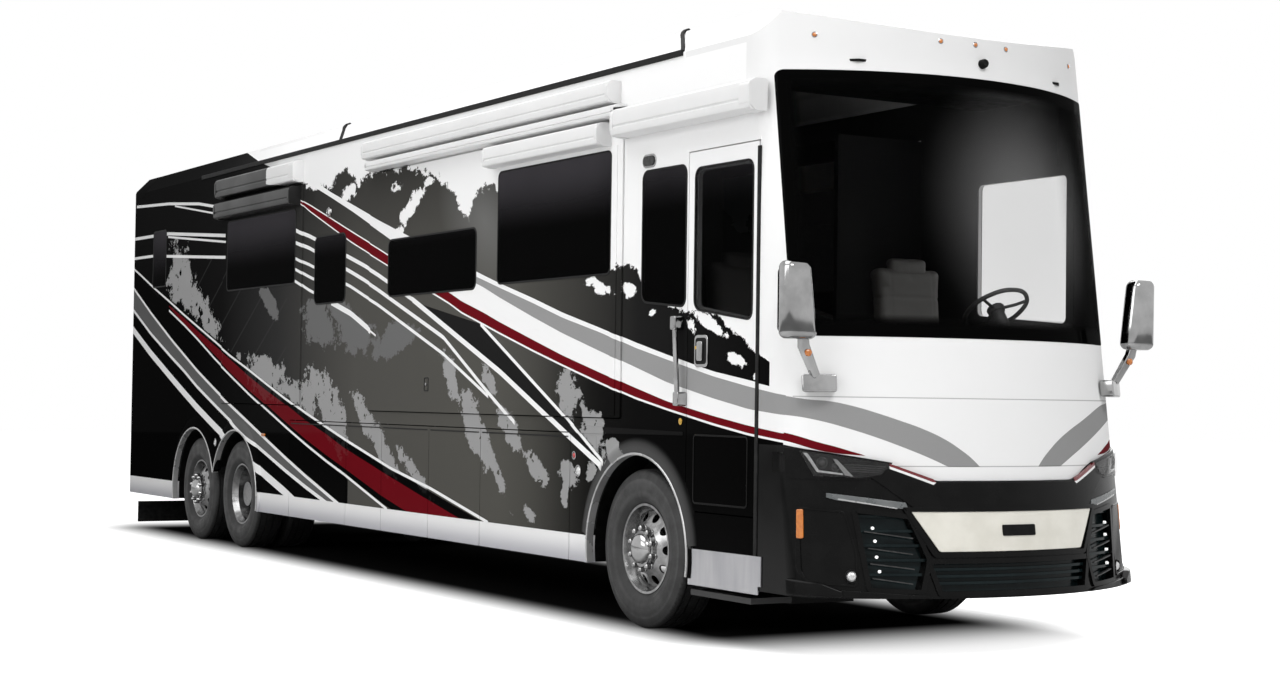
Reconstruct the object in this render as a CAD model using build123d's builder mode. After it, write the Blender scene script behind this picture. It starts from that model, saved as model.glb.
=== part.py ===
from build123d import *
import os
from math import sqrt, sin, cos, radians

# A forty-five foot diesel motor coach. Millimetres, +Z up, front towards -Y,
# +X is the coach's left. The origin lies on the ground under the middle.
os.makedirs("parts", exist_ok=True)

# ---- overall sizes -------------------------------------------------------
overall_length = 13700.0
body_width = 2580.0
front_overhang = 2330.0
wheelbase = 7740.0
tag_spacing = 1230.0
gutter_z = 3750.0
fairing_z = 3935.0
fairing_lean = 160.0
crown_z = 3985.0
skirt_z = 390.0
wall = 50.0
roof_wall = 50.0
seam = 8.0            # gap round every door and slide-out
pane_seat = 12.0      # depth of the rebate that a pane lies in
pane_lip = 18.0       # width of that rebate
pane_proud = 2.0

half = body_width / 2
nose_y = -overall_length / 2
tail_y = overall_length / 2
front_axle_y = nose_y + front_overhang
drive_axle_y = front_axle_y + wheelbase
tag_axle_y = drive_axle_y + tag_spacing


def at(distance):
    """Y of a station measured back from the front axle."""
    return front_axle_y + distance


def ahead_of_tail(distance):
    """The station, from the front axle, of a place measured from the tail."""
    return tail_y - front_axle_y - distance


# ---- front end -----------------------------------------------------------
nose_radius = 2000.0
nose_corner = 250.0
nose_shear = 0.14      # rake, run per unit of height
nose_base_z = 375.0
nose_brow_radius = 300.0
brow_drop = 210.0      # the roof line falls this far before the brow
cap_setback = 16.0     # the painted cap stands this far behind the bumper
cap_wall = 45.0
cap_join = at(-1392.0)
brow_join = at(-1230.0)
brow_z = 3120.0
crown_join = at(-530.0)
bumper_bottom_z = nose_base_z
bumper_top_mid_z = 1057.0
bumper_top_shoulder_z = 1157.0
bumper_top_side_z = 1270.0
bumper_mid_half = 520.0
bumper_shoulder_half = 900.0
screen_bottom_z = 1904.0
screen_top_z = 3520.0
screen_half = half - 58.0
screen_corner = 45.0
# ---- rear end ------------------------------------------------------------
rear_join = tail_y - 470.0
rear_corner = 200.0
rear_bulge = 60.0
rear_wall = 50.0

# ---- wheels --------------------------------------------------------------
tyre_radius = 528.0
tyre_width = 305.0
rim_flange_radius = 298.5
rim_seat_radius = 285.0
front_track_half = half - 182.0
drive_outer_half = half - 190.0
dual_spacing = 345.0
tag_track_half = half - 190.0
kingpin_half = front_track_half - 108.0
steer_spindle_radius = 42.0
bearing_gap = 1.0
arch_radius = 650.0
arch_drop = 20.0       # arch centres sit this far under the axle height
arch_lip = 42.0
arch_proud = 14.0
arch_dip_z = 838.0

# ---- floor and chassis ---------------------------------------------------
floor_z = 1283.0
floor_thickness = 50.0
bay_floor_z = 420.0
bay_floor_thickness = 40.0
rail_half = 430.0
rail_width = 75.0
rail_bottom_z = 660.0
rail_height = 250.0
bulkhead = 30.0

# ---- side openings -------------------------------------------------------
bay_top_z = 1273.0
bay_door_thickness = 40.0
bay_seams_right = (927.0, 2335.0, 3260.0, 4190.0, 4950.0, 6290.0)
bay_seams_left = (927.0, 2335.0, 3630.0, 4950.0, 6290.0)

door_front = -1392.0
door_rear = -596.0
door_bottom_z = 815.0
door_top_z = 3090.0
door_thickness = 50.0

# slide-outs: front, rear, bottom, top
slide_depth = 800.0
slide_wall = 45.0
slide_proud = 10.0
slides_right = {
    "slide_right_front": (235.0, 4488.0, 1388.0, 3400.0),
    "slide_right_rear": (6050.0, 8190.0, 1420.0, 3440.0),
}
slide_left = {"slide_left": (235.0, 8190.0, 1388.0, 3440.0)}

# panes: front, rear, bottom at front, bottom at rear, top, corner radius
panes_right = (
    (-565.0, -20.0, 2108.0, 2158.0, 3020.0, 60.0),
    (5030.0, 5750.0, 2330.0, 2330.0, 2935.0, 70.0),
    (ahead_of_tail(1320.0), ahead_of_tail(870.0), 2670.0, 2670.0, 3280.0, 40.0),
)
panes_left = (
    (-1340.0, -392.0, 2040.0, 2120.0, 3080.0, 60.0),
    (ahead_of_tail(1320.0), ahead_of_tail(870.0), 2670.0, 2670.0, 3280.0, 40.0),
)
panes_door = ((-1327.0, -670.0, 2004.0, 2092.0, 2985.0, 60.0),)
panes_slide = {
    "slide_right_front": (
        (385.0, 2077.0, 2362.0, 2362.0, 3200.0, 50.0),
        (2440.0, 4090.0, 2340.0, 2340.0, 2810.0, 60.0),
    ),
    "slide_right_rear": ((6210.0, 8060.0, 2540.0, 2540.0, 3230.0, 50.0),),
    "slide_left": (
        (700.0, 2400.0, 2362.0, 2362.0, 3200.0, 50.0),
        (3100.0, 4300.0, 2500.0, 2500.0, 3100.0, 50.0),
        (6300.0, 7700.0, 2540.0, 2540.0, 3200.0, 50.0),
    ),
}


# ---- shared forms --------------------------------------------------------
def pane_outline(front, rear, low_front, low_rear, top, radius, grow=0.0):
    """Side-view outline of an opening with rounded corners."""
    with BuildSketch() as outline:
        with BuildLine():
            Polyline(
                (at(front) - grow, low_front - grow),
                (at(rear) + grow, low_rear - grow),
                (at(rear) + grow, top + grow),
                (at(front) - grow, top + grow),
                close=True,
            )
        make_face()
        fillet(outline.vertices(), max(radius + grow, 2.0))
    return outline.sketch_local


def side_slab(outline, x_a, x_b):
    """A side-view outline given thickness between two X planes."""
    with BuildPart() as slab:
        with BuildSketch(Plane.YZ.offset(min(x_a, x_b))):
            add(outline)
        extrude(amount=abs(x_b - x_a))
    return slab.part


def cut_panes(table, side, outer):
    """Cutters for the rebates and the clear openings of a row of panes."""
    cutters = []
    for pane in table:
        rebate = pane_outline(*pane)
        clear = pane_outline(*pane, grow=-pane_lip)
        face = side * (outer + 30)
        cutters.append(side_slab(rebate, face, side * (outer - pane_seat)))
        cutters.append(side_slab(clear, face, side * (outer - 200)))
    return cutters


def pane_solids(table, side, outer):
    """The panes themselves, lying on their rebates."""
    panes = []
    for pane in table:
        shape = pane_outline(*pane, grow=-1.5)
        seat = side * (outer - pane_seat)
        panes.append(side_slab(shape, seat, side * (outer + pane_proud)))
    return panes


def block(x_a, x_b, y_a, y_b, z_a, z_b):
    """A plain block between pairs of planes."""
    centre = ((x_a + x_b) / 2, (y_a + y_b) / 2, (z_a + z_b) / 2)
    with BuildPart() as piece:
        with Locations(centre):
            Box(abs(x_b - x_a), abs(y_b - y_a), abs(z_b - z_a))
    return piece.part


def section_outline(inset, low):
    """Cross-section of the body: upright sides, leaning fairings, crown."""
    w = half - inset
    lean = half - fairing_lean - inset * 0.8
    with BuildSketch() as outline:
        with BuildLine():
            Polyline((-w, low), (w, low))
            Line((w, low), (w, gutter_z))
            Line((w, gutter_z), (lean, fairing_z - inset))
            ThreePointArc((lean, fairing_z - inset), (0, crown_z - inset), (-lean, fairing_z - inset))
            Line((-lean, fairing_z - inset), (-w, gutter_z))
            Line((-w, gutter_z), (-w, low))
        make_face()
    return outline.sketch_local


def run_along_y(outline, y_a, y_b):
    """A cross-section carried along the coach."""
    with BuildPart() as run:
        with BuildSketch(Plane.XZ.offset(-max(y_a, y_b))):
            add(outline)
        extrude(amount=abs(y_b - y_a))
    return run.part


def nose_form(inset, setback, low):
    """The raked, bowed front of the coach, set back and shrunk by an inset."""
    w = half - inset
    front = nose_y + setback + inset
    bow = nose_radius - inset
    bow_y = front + bow
    shoulder = bow_y - sqrt(bow**2 - w**2)
    height = crown_z + 400 - nose_base_z
    with BuildPart() as form:
        with BuildSketch(Plane.XY.offset(low)) as plan:
            with BuildLine():
                ThreePointArc((-w, shoulder), (0, front), (w, shoulder))
                Polyline((w, shoulder), (w, at(0)), (-w, at(0)), (-w, shoulder))
            make_face()
            fillet(plan.vertices().group_by(Axis.Y)[0], nose_corner - inset)
        extrude(amount=height * sqrt(1 + nose_shear**2), dir=(0, nose_shear, 1))
    move = nose_shear * (low - nose_base_z)
    raked = form.part.moved(Location((0, move, 0)))
    body = run_along_y(section_outline(inset, low), nose_y - 200, at(-400))
    # profile: raked front line, then the brow arc into the roof
    top = crown_z + 2 - inset
    with BuildPart() as brow:
        with BuildSketch(Plane.YZ.offset(-half)) as profile:
            base = (front - 2 + nose_shear * (low - nose_base_z), low)
            tip = (front - 2 + nose_shear * (top - brow_drop - nose_base_z), top - brow_drop)
            level = (at(-480), top)
            middle = (level[0] + (tip[0] - level[0]) * 0.55, top - brow_drop * 0.3)
            with BuildLine():
                Polyline(tip, base, (at(-400), low), (at(-400), top), level)
                ThreePointArc(level, middle, tip)
            make_face()
            fillet(profile.vertices().sort_by_distance((-half, *tip))[0], nose_brow_radius - inset)
        extrude(amount=body_width)
    return raked & body & brow.part


def front_slab(points, y_a, y_b):
    """A front-view outline given depth along the coach."""
    with BuildPart() as slab:
        with BuildSketch(Plane.XZ.offset(-max(y_a, y_b))):
            with BuildLine():
                Polyline(*points, close=True)
            make_face()
        extrude(amount=abs(y_b - y_a))
    return slab.part


def save(piece, label):
    """Label a finished piece and write it."""
    piece.label = label
    export_step(piece, "parts/" + label + ".step")


# ---- side walls ----------------------------------------------------------
wall_top_z = gutter_z - 40.0
arch_z = tyre_radius - arch_drop


def wall_outline():
    with BuildSketch() as outline:
        with BuildLine():
            Polyline(
                (cap_join, skirt_z),
                (rear_join, skirt_z),
                (rear_join, wall_top_z),
                (brow_join, wall_top_z),
                (brow_join, brow_z),
                (cap_join, brow_z),
                close=True,
            )
        make_face()
        with Locations((front_axle_y, arch_z), (drive_axle_y, arch_z), (tag_axle_y, arch_z)):
            Circle(arch_radius, mode=Mode.SUBTRACT)
        with Locations(((drive_axle_y + tag_axle_y) / 2, (skirt_z + arch_dip_z) / 2)):
            Rectangle(tag_spacing, arch_dip_z - skirt_z, mode=Mode.SUBTRACT)
        bay_mid = (at(bay_seams_right[0]) + at(bay_seams_right[-1])) / 2
        bay_run = bay_seams_right[-1] - bay_seams_right[0] + seam
        with Locations((bay_mid, (skirt_z + bay_top_z + seam) / 2 - 10)):
            Rectangle(bay_run, bay_top_z + seam - skirt_z + 20, mode=Mode.SUBTRACT)
    return outline.sketch_local


def lip_outline():
    with BuildSketch() as outline:
        with Locations((front_axle_y, arch_z), (drive_axle_y, arch_z), (tag_axle_y, arch_z)):
            Circle(arch_radius + arch_lip)
        with Locations(((drive_axle_y + tag_axle_y) / 2, arch_dip_z / 2)):
            Rectangle(tag_spacing, arch_dip_z + 2 * arch_lip)
        with Locations((front_axle_y, arch_z), (drive_axle_y, arch_z), (tag_axle_y, arch_z)):
            Circle(arch_radius, mode=Mode.SUBTRACT)
        with Locations(((drive_axle_y + tag_axle_y) / 2, arch_dip_z / 2)):
            Rectangle(tag_spacing, arch_dip_z, mode=Mode.SUBTRACT)
        with Locations(((front_axle_y + tag_axle_y) / 2, skirt_z - 1000)):
            Rectangle(20000, 2000, mode=Mode.SUBTRACT)
    return outline.sketch_local


def slide_hole(front, rear, bottom, top):
    return pane_outline(front, rear, bottom, bottom, top, 12.0, grow=seam)


sides = (
    ("wall_right", -1, slides_right, panes_right),
    ("wall_left", 1, slide_left, panes_left),
)
for label, side, slides, panes in sides:
    with BuildPart() as body_wall:
        add(side_slab(wall_outline(), side * half, side * (half - wall)))
        add(side_slab(lip_outline(), side * (half + arch_proud), side * (half - wall)))
        for edges in slides.values():
            add(side_slab(slide_hole(*edges), side * (half + 30), side * (half - 90)), mode=Mode.SUBTRACT)
        for cutter in cut_panes(panes, side, half):
            add(cutter, mode=Mode.SUBTRACT)
        if side < 0:
            doorway = block(
                -half - 30, -half + 90, cap_join - 1, at(door_rear) + seam, door_bottom_z - seam, door_top_z + seam
            )
            add(doorway, mode=Mode.SUBTRACT)
    save(body_wall.part, label)

side_panes = pane_solids(panes_right, -1, half) + pane_solids(panes_left, 1, half)
with BuildPart() as side_windows:
    for pane in side_panes:
        add(pane)
save(side_windows.part, "side_windows")

# ---- roof ----------------------------------------------------------------
with BuildPart() as roof:
    add(run_along_y(section_outline(0, wall_top_z), crown_join, rear_join))
    add(run_along_y(section_outline(roof_wall, wall_top_z - 10), crown_join - 5, rear_join + 5), mode=Mode.SUBTRACT)
save(roof.part, "roof")

# ---- front shell ---------------------------------------------------------
outer_form = nose_form(0.0, cap_setback, bumper_bottom_z - 20)
inner_form = nose_form(cap_wall, cap_setback, bumper_bottom_z - 40)
bumper_form = nose_form(0.0, 0.0, bumper_bottom_z - 20)

bumper_edge = (
    (-half - 60, bumper_top_side_z),
    (-bumper_shoulder_half, bumper_top_shoulder_z),
    (-bumper_mid_half, bumper_top_mid_z),
    (bumper_mid_half, bumper_top_mid_z),
    (bumper_shoulder_half, bumper_top_shoulder_z),
    (half + 60, bumper_top_side_z),
)
below_edge = front_slab(
    bumper_edge + ((half + 60, bumper_bottom_z), (-half - 60, bumper_bottom_z)), nose_y - 300, cap_join
)
cap_edge = tuple((x, z + 1.0) for x, z in bumper_edge)
above_edge = front_slab(
    cap_edge + ((half + 60, crown_z + 50), (-half - 60, crown_z + 50)), nose_y - 300, crown_join
)
behind_brow = block(-half - 80, half + 80, cap_join, crown_join + 20, 300, brow_z)
over_walls = block(-half - 80, half + 80, brow_join, crown_join + 20, brow_z - 40, wall_top_z)


def screen_outline(grow):
    with BuildSketch() as outline:
        with Locations((0, (screen_bottom_z + screen_top_z) / 2)):
            RectangleRounded(
                2 * (screen_half + grow), screen_top_z - screen_bottom_z + 2 * grow, screen_corner + grow
            )
    return outline.sketch_local


def screen_slab(grow):
    return run_along_y(screen_outline(grow), nose_y - 100, at(-1180))


screen_seat_form = nose_form(pane_seat, cap_setback, bumper_bottom_z - 30)
screen_face_form = nose_form(-pane_proud, cap_setback, bumper_bottom_z - 30)

cap_shell = (outer_form - inner_form) & above_edge
with BuildPart() as front_cap:
    add(cap_shell - behind_brow - over_walls)
    add(screen_slab(-pane_lip), mode=Mode.SUBTRACT)
    add(screen_slab(0.0) - screen_seat_form, mode=Mode.SUBTRACT)
save(front_cap.part, "front_cap")

with BuildPart() as windshield:
    add((screen_face_form - screen_seat_form) & screen_slab(-2.0))
save(windshield.part, "windshield")

# ---- bumper, its inlets and lamps ----------------------------------------
inlet_slat = 16.0      # height of a blade
inlet_back = 12.0      # thickness of the panel behind the blades
blade_set = 14.0       # blades stand this far behind the bumper's face

# front-view outlines, x and z, coach's left half
vent_outline = ((990.0, 871.0), (717.0, 833.0), (625.0, 603.0), (680.0, 425.0), (940.0, 437.0))
lamp_outline = ((1400.0, 1245.0), (1060.0, 1150.0), (830.0, 1085.0), (900.0, 1062.0), (1400.0, 1100.0))
centre_outline = ((-600.0, 577.0), (600.0, 577.0), (545.0, 410.0), (-545.0, 410.0))


def flip(points):
    return tuple((-x, z) for x, z in points)


def grow_points(points, grow):
    cx = sum(p[0] for p in points) / len(points)
    cz = sum(p[1] for p in points) / len(points)
    grown = []
    for x, z in points:
        reach = sqrt((x - cx) ** 2 + (z - cz) ** 2)
        k = 1 + grow / reach
        grown.append((cx + (x - cx) * k, cz + (z - cz) * k))
    return tuple(grown)


low = bumper_bottom_z - 30
bumper_inner = nose_form(cap_wall, 0.0, low)
blade_front = nose_form(blade_set, 0.0, low)
panel_back = nose_form(cap_wall + inlet_back, 0.0, low)
bumper_depth = (nose_y - 200, at(-1500))
with BuildPart() as front_bumper:
    add((bumper_form - bumper_inner) & below_edge)
    for points in (vent_outline, flip(vent_outline), centre_outline):
        add(front_slab(points, *bumper_depth), mode=Mode.SUBTRACT)
    for points in (lamp_outline, flip(lamp_outline)):
        add(front_slab(points, nose_y - 200, at(-1560)), mode=Mode.SUBTRACT)
save(front_bumper.part, "front_bumper")

with BuildPart() as inlet_grilles:
    # outline, first blade height, blade pitch, blade count
    inlets = (
        (vent_outline, 505.0, 84.0, 5),
        (flip(vent_outline), 505.0, 84.0, 5),
        (centre_outline, 455.0, 40.0, 3),
    )
    for points, first, pitch, count in inlets:
        back = front_slab(grow_points(points, 24.0), *bumper_depth)
        panel = (bumper_inner - panel_back) & back
        blades = [
            block(-1100, 1100, nose_y - 100, at(-1500), first + pitch * n, first + pitch * n + inlet_slat)
            for n in range(count)
        ]
        zone = (blade_front - bumper_inner) & front_slab(points, *bumper_depth)
        add(panel)
        for blade in blades:
            add(zone & blade)
save(inlet_grilles.part, "inlet_grilles")

lens_form = nose_form(-1.0, 1.0, low)
with BuildPart() as headlamps:
    for points in (lamp_outline, flip(lamp_outline)):
        add((lens_form - panel_back) & front_slab(points, nose_y - 200, at(-1560)))

# ---- rear cap ------------------------------------------------------------
engine_door_half = 800.0
engine_door_bottom_z = 700.0
engine_door_top_z = 1560.0
hitch_gap_half = 170.0
hitch_gap_top_z = 650.0
tail_brow = 140.0
lamp_bottom_z = 1180.0
lamp_top_z = 1640.0
lamp_inner = half - 305.0
lamp_outer = half - 185.0


def tail_form(inset, low_z):
    """The rear shell's outer form, shrunk by an inset."""
    w = half - inset
    back = tail_y - inset
    top = crown_z + 2 - inset
    start = rear_join - 400
    with BuildPart() as plan_form:
        with BuildSketch(Plane.XY.offset(low_z)) as plan:
            with Locations((0, (start + back) / 2)):
                Rectangle(2 * w, back - start)
            fillet(plan.vertices().group_by(Axis.Y)[-1], rear_corner - inset)
        extrude(amount=top - low_z)
    with BuildPart() as side_form:
        with BuildSketch(Plane.YZ.offset(-half)) as profile:
            with BuildLine():
                Line((start, low_z), (back - rear_bulge, low_z))
                ThreePointArc((back - rear_bulge, low_z), (back, 2200), (back - rear_bulge / 2, top - 300))
                Polyline(
                    (back - rear_bulge / 2, top - 300),
                    (back - rear_bulge / 2 - tail_brow, top),
                    (start, top),
                    (start, low_z),
                )
            make_face()
        extrude(amount=body_width)
    body = run_along_y(section_outline(inset, low_z), start, tail_y + 50)
    return plan_form.part & side_form.part & body


tail_shell = tail_form(0.0, skirt_z) - tail_form(rear_wall, skirt_z - 20)
tail_shell = tail_shell - block(-half - 9, half + 9, rear_join - 450, rear_join, 0, crown_z + 90)


def rear_slab(grow):
    with BuildSketch() as outline:
        with Locations((0, (engine_door_bottom_z + engine_door_top_z) / 2)):
            RectangleRounded(
                2 * (engine_door_half + grow), engine_door_top_z - engine_door_bottom_z + 2 * grow, 30 + grow
            )
    return run_along_y(outline.sketch_local, tail_y - 250, tail_y + 60)


tail_lamp_blocks = [
    block(side * lamp_inner, side * lamp_outer, tail_y - 200, tail_y + 60, lamp_bottom_z, lamp_top_z)
    for side in (-1, 1)
]
with BuildPart() as rear_cap:
    add(tail_shell)
    add(rear_slab(seam), mode=Mode.SUBTRACT)
    add(
        block(-hitch_gap_half, hitch_gap_half, tail_y - 300, tail_y + 60, skirt_z - 30, hitch_gap_top_z),
        mode=Mode.SUBTRACT,
    )
    for lamp in tail_lamp_blocks:
        add(lamp, mode=Mode.SUBTRACT)
save(rear_cap.part, "rear_cap")

with BuildPart() as engine_door:
    add(tail_shell & rear_slab(0.0))
save(engine_door.part, "engine_door")

with BuildPart() as lamps:
    add(headlamps.part)
    for lamp in tail_lamp_blocks:
        add(tail_shell & lamp)
save(lamps.part, "lamps")

# ---- entry door ----------------------------------------------------------
door_outline = pane_outline(door_front, door_rear, door_bottom_z, door_bottom_z, door_top_z, 14.0)
door_leaf = side_slab(door_outline, -half, -half + door_thickness)
door_leaf = door_leaf - block(-half - 9, half, cap_join - 50, cap_join + seam, 0, crown_z)
with BuildPart() as entry_door:
    add(door_leaf)
    for cutter in cut_panes(panes_door, -1, half):
        add(cutter, mode=Mode.SUBTRACT)
save(entry_door.part, "entry_door")
with BuildPart() as entry_door_glass:
    for pane in pane_solids(panes_door, -1, half):
        add(pane)
save(entry_door_glass.part, "entry_door_glass")

# ---- slide-outs ----------------------------------------------------------
# awnings carried by slides: slide, front, rear, bottom, top, reach
slide_awnings = (
    ("slide_right_front", 400.0, 2130.0, 3240.0, 3380.0, 110.0),
    ("slide_right_rear", 6110.0, 8170.0, 3265.0, 3420.0, 110.0),
)
for side, slides in ((-1, slides_right), (1, slide_left)):
    for label, (front, rear, bottom, top) in slides.items():
        face = half + slide_proud
        inner = half - slide_depth
        panel = pane_outline(front, rear, bottom, bottom, top, 12.0)
        box_y = (at(front), at(rear))
        shell = block(side * (half - 20), side * inner, *box_y, bottom, top)
        hollow = block(
            side * (face - slide_wall),
            side * (inner - 20),
            box_y[0] + slide_wall,
            box_y[1] - slide_wall,
            bottom + slide_wall,
            top - slide_wall,
        )
        with BuildPart() as slide:
            add(side_slab(panel, side * face, side * (face - slide_wall - 5)))
            add(shell)
            add(hollow, mode=Mode.SUBTRACT)
            for cutter in cut_panes(panes_slide[label], side, face):
                add(cutter, mode=Mode.SUBTRACT)
            for owner, a_front, a_rear, a_low, a_top, reach in slide_awnings:
                if owner == label:
                    add(block(side * face, side * (face + reach), at(a_front), at(a_rear), a_low, a_top))
        save(slide.part, label)
        with BuildPart() as slide_glass:
            for pane in pane_solids(panes_slide[label], side, face):
                add(pane)
        save(slide_glass.part, label + "_glass")

# ---- bay doors -----------------------------------------------------------
for side, name, seams in ((-1, "right", bay_seams_right), (1, "left", bay_seams_left)):
    for number in range(len(seams) - 1):
        leaf = pane_outline(
            seams[number] + seam / 2, seams[number + 1] - seam / 2, skirt_z, skirt_z, bay_top_z, 8.0
        )
        with BuildPart() as bay_door:
            add(side_slab(leaf, side * half, side * (half - bay_door_thickness)))
        save(bay_door.part, "bay_door_" + name + "_" + str(number + 1))

# ---- floor, stair well and bays ------------------------------------------
well_front = at(-1360.0)
well_rear = at(-640.0)
well_depth = 700.0
step_count = 3
tread_thickness = 25.0
well_floor_z = 460.0
bay_half = half - wall - 2.0
slot_gap = 4.0
# the sliding step runs on two arms in guide tubes under the stair well
step_thickness = 36.0
step_top_z = 322.0
step_low_z = step_top_z - step_thickness
step_depth = 300.0
step_x = -half + 8.0
arm_width = 60.0
arm_length = 490.0
arm_edges = (well_front + 60, well_rear - 60 - arm_width)
guide_gap = 6.0
guide_wall = 6.0
guide_start = step_x + step_depth + 15.0
guide_end = step_x + step_depth + arm_length
floor_top = floor_z + floor_thickness
deck_joint = 3.0
bay_front = at(bay_seams_right[0]) - bulkhead / 2
bay_rear = at(bay_seams_right[-1]) + bulkhead / 2
well_inner = -half + wall + well_depth
deck_front = block(-half + wall, half - wall, nose_y, well_front, floor_z, floor_top)
deck_rear = block(-half + wall, half - wall, at(6290), tail_y, floor_z, floor_top)
with BuildPart() as floor_panels:
    add(deck_front & nose_form(cap_wall, cap_setback, bumper_bottom_z))
    add(block(well_inner, half - wall, well_front + deck_joint, well_rear - deck_joint, floor_z, floor_top))
    add(block(-half + wall, half - wall, well_rear, at(6290) - deck_joint, floor_z, floor_top))
    add(deck_rear & tail_form(rear_wall, skirt_z))
    add(block(-bay_half, bay_half, bay_front, bay_rear, bay_floor_z, bay_floor_z + bay_floor_thickness))
save(floor_panels.part, "floor_panels")

slot_edge = rail_half - rail_width / 2 - slot_gap
rail_edge = rail_half + rail_width / 2 + slot_gap
with BuildPart() as bay_bulkheads:
    for station in bay_seams_right:
        y_a = at(station) - bulkhead / 2
        for x_a, x_b in ((-bay_half, -rail_edge), (-slot_edge, slot_edge), (rail_edge, bay_half)):
            add(block(x_a, x_b, y_a, y_a + bulkhead, bay_floor_z + bay_floor_thickness, floor_z))
save(bay_bulkheads.part, "bay_bulkheads")

rise = (floor_top - well_floor_z) / step_count
run = well_depth / step_count
with BuildPart() as stair_well:
    for number in range(step_count):
        x_a = -half + wall + run * number
        z_a = well_floor_z + rise * number
        rear_x = x_a + run
        add(block(x_a, rear_x, well_front, well_rear, z_a - tread_thickness, z_a))
        top_z = min(z_a + rise, floor_z)
        add(block(rear_x - tread_thickness, rear_x, well_front, well_rear, z_a - 5, top_z))
    for y_a in (well_front - tread_thickness, well_rear):
        y_a += 2.0 if y_a > well_front else -2.0
        add(
            block(
                -half + wall + 4,
                well_inner,
                y_a,
                y_a + tread_thickness,
                well_floor_z - tread_thickness,
                floor_z,
            )
        )
    for y_a in arm_edges:
        out = guide_gap + guide_wall
        y_b = y_a + arm_width
        add(block(guide_start, guide_end, y_a - out, y_b + out, step_low_z - out, step_top_z + out))
        add(
            block(
                guide_start,
                guide_start + 200,
                y_a + 12,
                y_b - 12,
                step_top_z + out - 3,
                well_floor_z + rise - tread_thickness + 5,
            )
        )
        add(
            block(
                guide_start - 5,
                guide_end + 5,
                y_a - guide_gap,
                y_b + guide_gap,
                step_low_z - guide_gap,
                step_top_z + guide_gap,
            ),
            mode=Mode.SUBTRACT,
        )
save(stair_well.part, "stair_well")

# ---- entry step ----------------------------------------------------------
with BuildPart() as entry_step:
    add(block(step_x, step_x + step_depth, well_front + 20, well_rear - 20, step_low_z, step_top_z))
    for y_a in arm_edges:
        add(
            block(
                step_x + step_depth - 10,
                step_x + step_depth + arm_length,
                y_a,
                y_a + arm_width,
                step_low_z,
                step_top_z,
            )
        )
save(entry_step.part, "entry_step")

# ---- chassis -------------------------------------------------------------
rail_front = nose_y + 420.0
rail_rear = tail_y - 330.0
rail_top_z = rail_bottom_z + rail_height
cross_stations = (-1700.0, -700.0, 700.0, 2800.0, 4600.0, 6600.0, 8350.0, ahead_of_tail(1670.0))
upright_stations = (-1500.0, -500.0, 7300.0, 8900.0, ahead_of_tail(970.0))
receiver_size = 76.2
receiver_bore = 63.5
receiver_length = 320.0
receiver_z = 560.0
hitch_pin_r = 7.94
receiver_rear = tail_y - rear_bulge - 10
jack_stations = (740.0, ahead_of_tail(1700.0))
jack_half = 545.0
rail_inner = rail_half - rail_width / 2
rail_outer = rail_half + rail_width / 2
with BuildPart() as frame_rails:
    for side in (-1, 1):
        add(block(side * rail_inner, side * rail_outer, rail_front, rail_rear, rail_bottom_z, rail_top_z))
save(frame_rails.part, "frame_rails")

plate_thickness = 14.0
with BuildPart() as frame_members:
    for station in cross_stations:
        y_a = at(station)
        add(block(-rail_inner, rail_inner, y_a - 35, y_a + 35, rail_bottom_z + 60, rail_bottom_z + 180))
    # uprights that carry the floor outside the bays
    for station in upright_stations:
        for side in (-1, 1):
            x_mid = side * rail_half
            add(block(x_mid - 30, x_mid + 30, at(station) - 40, at(station) + 40, rail_top_z, floor_z))
    # towing receiver, its cross tube and its plates on the rails' outer faces
    plate_x = rail_outer + plate_thickness
    add(block(-plate_x, plate_x, rail_rear - 130, rail_rear - 40, receiver_z - 45, receiver_z + 45))
    for side in (-1, 1):
        add(block(side * rail_outer, side * plate_x, rail_rear - 160, rail_rear - 10, receiver_z - 45, rail_top_z - 60))
    half_tube = receiver_size / 2
    tube_front = receiver_rear - receiver_length
    add(block(-half_tube, half_tube, tube_front, receiver_rear, receiver_z - half_tube, receiver_z + half_tube))
    half_bore = receiver_bore / 2
    add(
        block(-half_bore, half_bore, tube_front + 60, receiver_rear + 5, receiver_z - half_bore, receiver_z + half_bore),
        mode=Mode.SUBTRACT,
    )
    with Locations(Location((0, receiver_rear - 90, receiver_z), (0, 90, 0))):
        Cylinder(hitch_pin_r, receiver_size + 20, mode=Mode.SUBTRACT)
save(frame_members.part, "frame_members")

# ---- levelling jacks -----------------------------------------------------
jack_body_r = 55.0
jack_rod_r = 32.0
jack_foot_r = 140.0
jack_foot_z = 250.0
with BuildPart() as leveling_jacks:
    for station in jack_stations:
        for side in (-1, 1):
            x, y = side * jack_half, at(station)
            with Locations((x, y, 620)):
                Cylinder(jack_body_r, 460)
            with Locations((x, y, (jack_foot_z + 400) / 2)):
                Cylinder(jack_rod_r, 400 - jack_foot_z)
            with Locations((x, y, jack_foot_z + 12)):
                Cylinder(jack_foot_r, 24)
            add(block(side * (rail_half + rail_width / 2), x, y - 45, y + 45, rail_bottom_z + 20, rail_top_z - 30))
save(leveling_jacks.part, "leveling_jacks")

# ---- engine --------------------------------------------------------------
with BuildPart() as engine_block:
    add(block(-340, 340, tail_y - 1520, tail_y - 520, 560, 1200))
    fillet(engine_block.edges().filter_by(Axis.Y), 40)
save(engine_block.part, "engine_block")

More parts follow.
